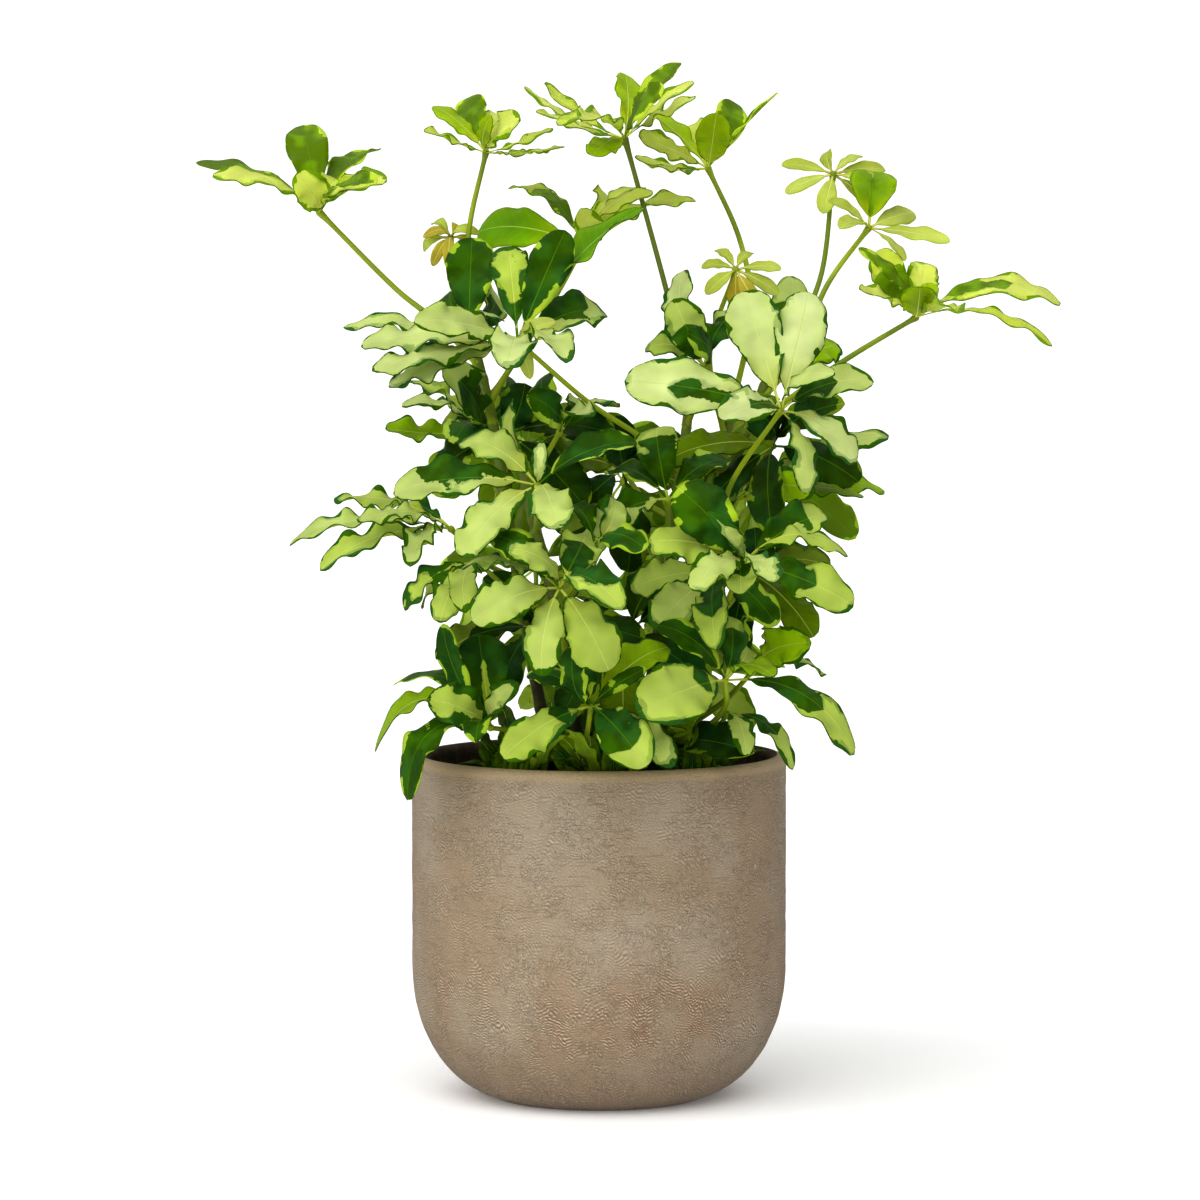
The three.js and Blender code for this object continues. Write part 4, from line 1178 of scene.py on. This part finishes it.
        # Painted sheen: the whitening grows with the hub's height and is none in the crown's shade; the tint
        # then paints shade or sunlight on the pale tissue
        share = pattern.whiten_and_sheen * chance(shape.seed, 34) ** 1.2 * light.whiten_and_sheen
        share *= min(1.0, max(0.3, (shape.hub[2] - self.sheen_from_height) / self.sheen_over_height))
        tint = 1.0 if young else np.array(light.pale)
        root, rim, middle = root * tint, rim * tint, (middle + share * (white - middle)) * tint
        near_root = np.clip(1 - self.share / tissue.root_reach, 0, 1) ** 1.3 * 0.8
        near_rim = np.abs(self.across) ** 2.5 * tissue.rim_strength
        ground = middle + (rim - middle) * near_rim[:, None]
        ground = ground + (root - ground) * near_root[:, None]
        ground[:, 3] = 1.0
        return ground


@dataclass
class CompoundLeaves:
    """All the compound leaves, each with its petiole, hub and leaflets as one piece, in millimetres.

    The shifts to the back, the swings in degrees and the lengths are those that the part tries.
    """

    maker: BladeMaker
    dressing: list[Material]
    bark: Material
    petiole_radius: float = 1.5
    foot_swell: float = 0.9
    foot_share: float = 0.05
    neck_swell: float = 0.5
    neck_share: float = 0.03
    hub_radius: float = 1.9
    usual_bow: float = 7.0
    bow_share: float = 0.4
    sag: float = 4.0
    shifts: tuple[int, ...] = (0, -7, 7, -14, 14, -21, 21, -30, 30, -40, 40)
    swings: tuple[int, ...] = (0, 7, -7, 14, -14, 22, -22)
    lengths: tuple[float, ...] = (1.0, 0.8, 0.62)
    same_mm: float = 0.6
    stem_points: int = 120
    petiole_points: int = 28

    def solid_tip(self, solid: SolidIndex, hub: Point, tip: Point) -> Point | None:
        """Finds how the part bent a leaflet.

        Args:
            solid: The part's own leaf.
            hub: The leaflet's foot.
            tip: Its tip as planned.

        Returns:
            The tip that the solid's leaflet has, or None where the part left it out.
        """
        x, y, z = tip - hub
        for length, swing, shift in product(self.lengths, self.swings, self.shifts):
            c, s = math.cos(math.radians(swing)), math.sin(math.radians(swing))
            end = hub + np.array([x * c + z * s, y, z * c - x * s]) * length + np.array([0.0, shift, 0.0])
            if solid.gap_mm(end) < self.same_mm:
                return end
        return None

    def petiole_path(self, plan: LeafPlan, solid: SolidIndex, hub: Point) -> Point:
        """Finds the petiole's centre line, bowed as the solid's is.

        Args:
            plan: The leaf's plan.
            solid: The part's own leaf.
            hub: The leaf's hub.

        Returns:
            The points from the stem to the hub.
        """
        stem = smooth_path(STEMS[plan.stem], self.stem_points)
        seat = stem[np.argmin(np.abs(stem[:, 2] - plan.height))]
        via = [in_view(p) for p in plan.via][::-1] or [(seat + hub) / 2 - np.array([0.0, 0.0, self.sag])]
        bows = ([p + np.array([0.0, shift, 0.0]) for p in via] for shift in self.shifts)
        paths = (smooth_path([seat, *bow, hub], self.petiole_points) for bow in bows)
        return min(paths, key=solid.misfit_mm)

    def assemble(self, name: str, slot: str, blades: list[Piece], path: Point, skin: Material) -> None:
        """Makes one piece of leaflets and their petiole.

        Args:
            name: The CAD node's name.
            slot: Not used.
            blades: The leaflets as open sheets.
            path: The petiole's centre line, which ends in the hub.
            skin: The petiole's material.
        """
        fan = joined(blades, name + "_fine", *self.dressing)
        apply_modifier(fan, "SOLIDIFY", thickness=self.maker.thickness * MM, offset=0.0, material_offset=1)
        share = np.linspace(0, 1, len(path))
        foot = self.foot_swell * np.exp(-((share / self.foot_share) ** 2))
        neck = self.neck_swell * np.exp(-(((1 - share) / self.neck_share) ** 2))
        petiole = rod(path, self.petiole_radius * (1.1 - 0.3 * share + foot + neck), 2)
        radius = self.hub_radius * MM
        bpy.ops.mesh.primitive_ico_sphere_add(subdivisions=2, radius=radius, location=path[-1] * MM)
        knob = bpy.context.active_object
        bpy.ops.object.transform_apply()
        piece = joined([fan, joined([petiole, knob], "stalk", skin)], name + "_fine")
        bpy.ops.object.shade_smooth()
        stand_for(piece, name)

    def build(self, plan: LeafPlan, index: int, slot: str) -> None:
        """Builds one compound leaf.

        Args:
            plan: The leaf's plan.
            index: The leaf's place in the part's list, which seeds its leaflets.
            slot: The name of a material slot, passed on to assemble.
        """
        solid, hub, blades = SolidIndex(plan.name), in_view(plan.hub), []
        for i, (leaflet, letter) in enumerate(zip(plan.leaflets, plan.patterns, strict=True)):
            *step, width, turn, bow = (*leaflet, self.usual_bow)[:6]
            tip = in_view(np.add(plan.hub, step))
            end = self.solid_tip(solid, hub, tip)
            if end is None:
                LOG.warning("%s: leaflet %d isn't on the solid", plan.name, i)
                continue
            bow = min(bow, self.bow_share * float(np.linalg.norm(tip - hub)))
            kind = Variegation[letter]
            looks = (kind, plan.tone, plan.ruffle * kind.value.ruffle)
            shape = BladeShape(hub, end, plan.facing, turn, width, bow, index * 20 + i, *looks)
            blades.append(self.maker.blade(shape))
        skin = self.bark if plan.woody else self.dressing[2]
        self.assemble(plan.name, slot, blades, self.petiole_path(plan, solid, hub), skin)


@dataclass
class Shoots:
    """The clumps of low shoots between the stems, in millimetres."""

    leaves: CompoundLeaves
    small_maker: BladeMaker
    soil_top: float = 150.0
    reach: float = 27.0
    rise: float = 28.0
    width: float = 9.0
    bow: float = 5.0
    crown: float = 5.0
    root: float = 14.0
    count: int = 9
    small_count: int = 34
    within_radius: float = 76.0
    seed: int = 900
    small_seed: int = 2000

    def small_blades(self, hub: Point, index: int) -> list[Piece]:
        """Makes the many small curled leaves that fill a clump, which the solid sums up in a few.

        Args:
            hub: The middle of the clump.
            index: Its place in the part's list.

        Returns:
            The leaves as open sheets.
        """
        blades = []
        for i in range(self.small_count):
            seed = self.small_seed + index * 100 + i
            draw = partial(between, seed)
            reach, rise = self.reach * draw(5, 0.25, 1.1), self.rise * draw(6, 0.05, 1.5)
            tip = hub + polar(reach, draw(4, 0.0, TURN), rise)
            tip[:2] *= min(1.0, self.within_radius / np.hypot(tip[0], tip[1]))
            low = hub + draw(7, 0.0, 0.35) * (tip - hub) * np.array([1.0, 1.0, 0.2])
            kind = Variegation.G if chance(seed, 8) > 0.8 else Variegation.S
            width, bow = self.width * draw(9, 0.8, 1.5), draw(10, -3.0, 9.0)
            facing = Facing.FRONT if chance(seed, 11) > 0.3 else Facing.UP
            # The small shoots take the painted shade of the crown
            looks = (seed, kind, PaintedLight.SHADE, 1.6)
            shape = BladeShape(low, tip, facing, draw(13, 0.0, 25.0), width, bow, *looks)
            blades.append(self.small_maker.blade(shape))
        return blades

    def build(self, name: str, foot: tuple[float, float], start: float, index: int) -> None:
        """Builds one clump.

        Args:
            name: The clump's node name.
            foot: Where it stands on the soil.
            start: The direction of its first leaf in degrees.
            index: Its place in the part's list.
        """
        solid = SolidIndex(name)
        base = np.array([*foot, self.soil_top])
        hub = base + np.array([0.0, 0.0, self.crown])
        blades = []
        for i in range(self.count):
            seed = self.seed + index * 20 + i
            angle = math.radians(start + 360 * i / self.count)
            reach, rise = self.reach * between(seed, 4, 0.7, 1.3), self.rise * between(seed, 5, 0.4, 1.6)
            end = self.leaves.solid_tip(solid, hub, hub + polar(reach, angle, rise))
            if end is not None:
                # The shoots' leaves take the painted shade of the crown
                looks = (seed, Variegation.S, PaintedLight.SHADE, 1.2)
                shape = BladeShape(hub, end, Facing.UP, 0.0, self.width, self.bow, *looks)
                blades.append(self.leaves.maker.blade(shape))
        path = smooth_path([base - np.array([0.0, 0.0, self.root]), base, hub], 10)
        blades += self.small_blades(hub, index)
        self.leaves.assemble(name, "shoot", blades, path, self.leaves.dressing[2])


@dataclass
class Stems:
    """The five woody stems, each a tapered rod with the rings of old leaf scars, in millimetres."""

    radius: float = 3.1
    foot_share: float = 1.06
    taper: float = 0.22
    ring_spacing: float = 17.0
    ring_height: float = 0.14
    ring_softness: float = 1.6
    points: int = 90

    def build(self, name: str, finish: Material) -> None:
        """Builds one stem.

        Args:
            name: The stem's node name.
            finish: Its bark.
        """
        path = smooth_path(STEMS[name], self.points)
        lengths = np.concatenate([[0], np.cumsum(np.linalg.norm(np.diff(path, axis=0), axis=1))])
        half = self.ring_spacing / 2
        away = (lengths + half) % self.ring_spacing - half
        rings = self.ring_height * np.exp(-(away**2) / self.ring_softness)
        radii = self.radius * (self.foot_share - self.taper * lengths / lengths[-1] + rings)
        stem = joined([rod(path, radii, 3)], name + "_fine", finish)
        bpy.ops.object.shade_smooth()
        stand_for(stem, name)


@dataclass
class Pot:
    """The bellied stoneware pot, turned in one piece, in millimetres."""

    radius: float = 95.0
    height: float = 174.0
    wall: float = 9.0
    floor: float = 12.0
    foot_radius: float = 54.0
    belly_height: float = 66.0
    belly_reach: float = 48.0
    arc_steps: int = 26
    wall_steps: int = 70
    lip_steps: int = 10
    around: int = 360
    unevenness: float = 0.5
    uneven_grain: float = 7.0
    plain_foot: float = 3.0

    def profile(self, inset: float, floor: float, top: float) -> list[tuple[float, float]]:
        """Draws the section of a wall from the axis at its floor to its top.

        Args:
            inset: How far inside the outer face it runs.
            floor: The height of its floor.
            top: The height of its top.

        Returns:
            Radii and heights.
        """
        centre = self.radius - self.belly_reach
        reach = self.belly_reach - inset
        start = math.acos(min(1.0, (self.foot_radius - centre) / self.belly_reach))
        points = [(0.0, floor), (centre + reach * math.cos(start), floor)]
        for i in range(1, self.arc_steps + 1):
            angle = start * (1 - i / self.arc_steps)
            height = self.belly_height - (self.belly_height - floor) * math.sin(angle)
            points.append((centre + reach * math.cos(angle), height))
        low = points[-1][1]
        rises = (low + (top - low) * i / self.wall_steps for i in range(1, self.wall_steps + 1))
        return [*points, *((centre + reach, height) for height in rises)]

    def build(self, outside: Material, inside: Material) -> None:
        """Spins the section round the axis and raises the brushed relief on it.

        Args:
            outside: The finish of the outer wall and the lip.
            inside: The finish of the inner wall.
        """
        lip = self.wall / 2
        outer = self.profile(0.0, 0.0, self.height - lip)
        inner = self.profile(self.wall, self.floor, self.height - lip)
        turns = [math.pi * i / self.lip_steps for i in range(1, self.lip_steps)]
        rim = [(self.radius - lip + lip * math.cos(t), self.height - lip + lip * math.sin(t)) for t in turns]
        corners = [(r * MM, 0.0, h * MM) for r, h in (*outer, *rim, *inner[::-1])]
        mesh = bpy.data.meshes.new("stoneware_pot")
        mesh.from_pydata(corners, [(i, i + 1) for i in range(len(corners) - 1)], [])
        pot = placed("stoneware_pot", mesh)
        round_axis = {"center": (0, 0, 0), "axis": (0, 0, 1)}
        spin = partial(bpy.ops.mesh.spin, steps=self.around, angle=TURN, **round_axis)
        edit_all(pot, spin, partial(bpy.ops.mesh.remove_doubles, threshold=1e-6))
        self.dress(joined([pot], "stoneware_pot", outside, inside))
        bpy.ops.object.shade_smooth()
        stand_for(pot, "pot")

    def dress(self, pot: Piece) -> None:
        """Gives the inner wall its own finish, and raises a soft unevenness on the outer one.

        Args:
            pot: The spun pot.
        """
        wall_group = pot.vertex_groups.new(name="outer_wall")
        centre = self.radius - self.belly_reach
        for polygon in pot.data.polygons:
            place = polygon.center / MM
            angle = math.asin(max(0.0, min(1.0, (self.belly_height - place.z) / self.belly_height)))
            outer = centre + self.belly_reach * math.cos(angle)
            inner = math.hypot(place.x, place.y) < outer - self.wall / 2 and place.z > self.floor / 2
            polygon.material_index = int(inner)
            if not inner and self.plain_foot < place.z < self.height - self.wall:
                wall_group.add(list(polygon.vertices), 1.0, "REPLACE")
        lump(pot, "uneven_slip", self.uneven_grain, 2, self.unevenness, vertex_group=wall_group.name)


@dataclass
class Soil:
    """The potting mix: a lumpy body inside the pot, with loose crumbs on it, in millimetres."""

    radius: float = 85.7
    top: float = 150.0
    bottom: float = 120.0
    lump: float = 5.0
    lump_grain: float = 9.0
    cells: int = 110
    crumbs: int = 420
    bare_edge: float = 4.0
    crease: float = 40.0
    seed: int = 7

    def bed(self) -> Piece:
        """Makes the body.

        Returns:
            A round bed with a lumpy top, closed below.
        """
        only_select()
        bpy.ops.mesh.primitive_grid_add(x_subdivisions=self.cells, y_subdivisions=self.cells, size=2)
        bed = bpy.context.active_object
        flat = np.array([v.co for v in bed.data.vertices])[:, :2]
        length = np.maximum(np.hypot(flat[:, 0], flat[:, 1]), 1e-9)
        disc = flat * (np.abs(flat).max(axis=1) / length)[:, None] * self.radius
        corners = np.column_stack([disc, np.full(len(disc), self.top - self.lump / 2)])
        bed.data.vertices.foreach_set("co", (corners * MM).ravel())
        lump(bed, "soil_lumps", self.lump_grain, 3, self.lump, direction="Z")
        drop = {"value": (0, 0, (self.bottom - self.top) * MM)}
        edit_all(bed, partial(bpy.ops.mesh.extrude_region_move, TRANSFORM_OT_translate=drop))
        return bed

    def build(self, finish: Material) -> None:
        """Builds the bed and strews crumbs over it, each a small ball pulled out of round.

        Args:
            finish: The potting mix.
        """
        draw = random.Random(self.seed)
        pieces = [self.bed()]
        only_select()
        bpy.ops.mesh.primitive_ico_sphere_add(subdivisions=1, radius=1.0)
        master = bpy.context.active_object
        ball = np.array([v.co * (0.75 + 0.5 * chance(i, 50)) for i, v in enumerate(master.data.vertices)])
        for _ in range(self.crumbs):
            angle, reach = draw.uniform(0, TURN), (self.radius - self.bare_edge) * math.sqrt(draw.random())
            size = draw.uniform(0.8, 2.6)
            turn, flat = draw.uniform(0, TURN), draw.uniform(0.5, 0.9)
            x = ball[:, 0] * math.cos(turn) - ball[:, 1] * math.sin(turn)
            y = ball[:, 0] * math.sin(turn) + ball[:, 1] * math.cos(turn)
            crumb = np.column_stack([x, y, ball[:, 2] * flat]) * size
            pieces.append(cast(master, crumb + polar(reach, angle, self.top)))
        bpy.data.objects.remove(master)
        soil = joined(pieces, "potting_mix", finish)
        bpy.ops.object.shade_smooth_by_angle(angle=math.radians(self.crease))
        stand_for(soil, "soil")


@dataclass(frozen=True)
class Lamp:
    """A soft box far away, in degrees: how far left of the front and how high it stands, and its width."""

    name: str
    strength: float
    side: float
    rise: float
    width: float

    def build(self) -> None:
        """Adds the lamp."""
        bpy.ops.object.light_add(type="SUN", location=(0, 0, 3))
        lamp = bpy.context.active_object
        lamp.name = self.name
        lamp.data.energy = self.strength
        lamp.data.angle = math.radians(self.width)
        side, rise = math.radians(self.side), math.radians(self.rise)
        towards = Vector(-polar(math.cos(rise), TURN / 4 - side, -math.sin(rise)))
        lamp.rotation_euler = towards.to_track_quat("Z", "Y").to_euler()


@dataclass
class Studio:
    """The pale floor, soft light and camera."""

    floor_size: float = 60.0
    room_light: float = 0.28
    floor_glow: float = 0.08
    key: Lamp = Lamp("key_soft_box", 1.9, 28.0, 38.0, 80.0)
    top: Lamp = Lamp("top_soft_box", 1.2, 0.0, 80.0, 110.0)
    sensor_mm: float = 36.0
    sight_m: float = 200.0

    def floor(self) -> None:
        """Adds the plain pale floor."""
        bpy.ops.mesh.primitive_plane_add(size=self.floor_size, location=(0, 0, 0))
        floor = bpy.context.active_object
        floor.name = "studio_floor"
        floor.data.materials.append(PalePaper("pale_paper", glow=self.floor_glow).material())
        floor.visible_glossy = False

    def lights(self) -> None:
        """Adds a dim room that is white to the eye, and wide soft boxes."""
        world = bpy.data.worlds.new("bright_room")
        world.use_nodes = True
        add = partial(node, world.node_tree)
        background = world.node_tree.nodes["Background"]
        feed(background.inputs["Color"], "#ffffff")
        strength = add("*+", add("LightPath", out="Is Camera Ray"), 1 - self.room_light, self.room_light)
        feed(background.inputs["Strength"], strength)
        bpy.context.scene.world = world
        self.key.build()
        self.top.build()

    def camera(self) -> None:
        """Adds the camera at the eye point, aimed at the middle of the view."""
        place = Vector((AIM_RIGHT_MM, -EYE_DISTANCE_MM, EYE_HEIGHT_MM)) * MM
        aim = Vector((AIM_RIGHT_MM, 0.0, AIM_HEIGHT_MM)) * MM
        bpy.ops.object.camera_add(location=place)
        camera = bpy.context.active_object
        camera.rotation_euler = (aim - place).to_track_quat("-Z", "Y").to_euler()
        camera.data.sensor_width = self.sensor_mm
        camera.data.lens = self.sensor_mm * (aim - place).length / (FRAME_WIDTH_MM * MM)
        camera.data.clip_end = self.sight_m
        bpy.context.scene.camera = camera

    def build(self) -> None:
        """Builds the whole studio."""
        self.camera()
        self.floor()
        self.lights()
        bpy.context.scene.view_settings.view_transform = "Standard"
        bpy.context.scene.view_settings.look = "Medium High Contrast"


def all_plans() -> list[LeafPlan]:
    """Lists the compound leaves in the part's order.

    Returns:
        The plans of those placed from the photo, then of the even fans.
    """
    plans = list(LEAVES)
    groups = (("middle", MIDDLE_FANS, 50, Facing.FRONT), ("back", BACK_FANS, 0, Facing.BACK))
    for group, fans, seed, facing in groups:
        for i, fan in enumerate(fans, 1):
            plans.append(EvenFans().plan(f"leaf_{group}_{i}", fan, seed + i, facing))
    return plans


def main() -> None:
    """Builds the plant around its frame."""
    logging.basicConfig(level=logging.INFO, format="%(message)s")
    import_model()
    Studio().build()
    clay = EarthyMatter("damp_bare_clay", light="#4b3a2c", dark="#35281d", grain_mm=6.0)
    Pot().build(BrushedStoneware("brushed_stoneware").material(), clay.material())
    Soil().build(EarthyMatter("potting_mix", light="#4a3626", dark="#23170f", grain_mm=2.6).material())
    bark = YoungBark("young_bark").material()
    for name in STEMS:
        Stems().build(name, bark)
    upper = LeatheryLeaf("leathery_leaf_upper", roughness=0.42, specular=0.2, veil=0.0, glow=0.25)
    under = LeatheryLeaf("leathery_leaf_underside", roughness=0.6, specular=0.1, veil=0.32, glow=0.45)
    dressing = [finish.material() for finish in (upper, under, GreenStalk("green_stalk"))]
    maker, small_maker = BladeMaker(), BladeMaker(rows=14, columns=4)
    leaves = CompoundLeaves(maker, dressing, bark)
    for index, plan in enumerate(all_plans()):
        leaves.build(plan, index, "young_leaf" if plan.name.startswith("young") else "leaf")
    shoots = Shoots(leaves, small_maker)
    for index, (name, (foot, start)) in enumerate(CLUMPS.items()):
        shoots.build(name, foot, start, index)
    for spare in (maker, small_maker):
        bpy.data.objects.remove(spare.master)


if __name__ == "__main__":
    main()
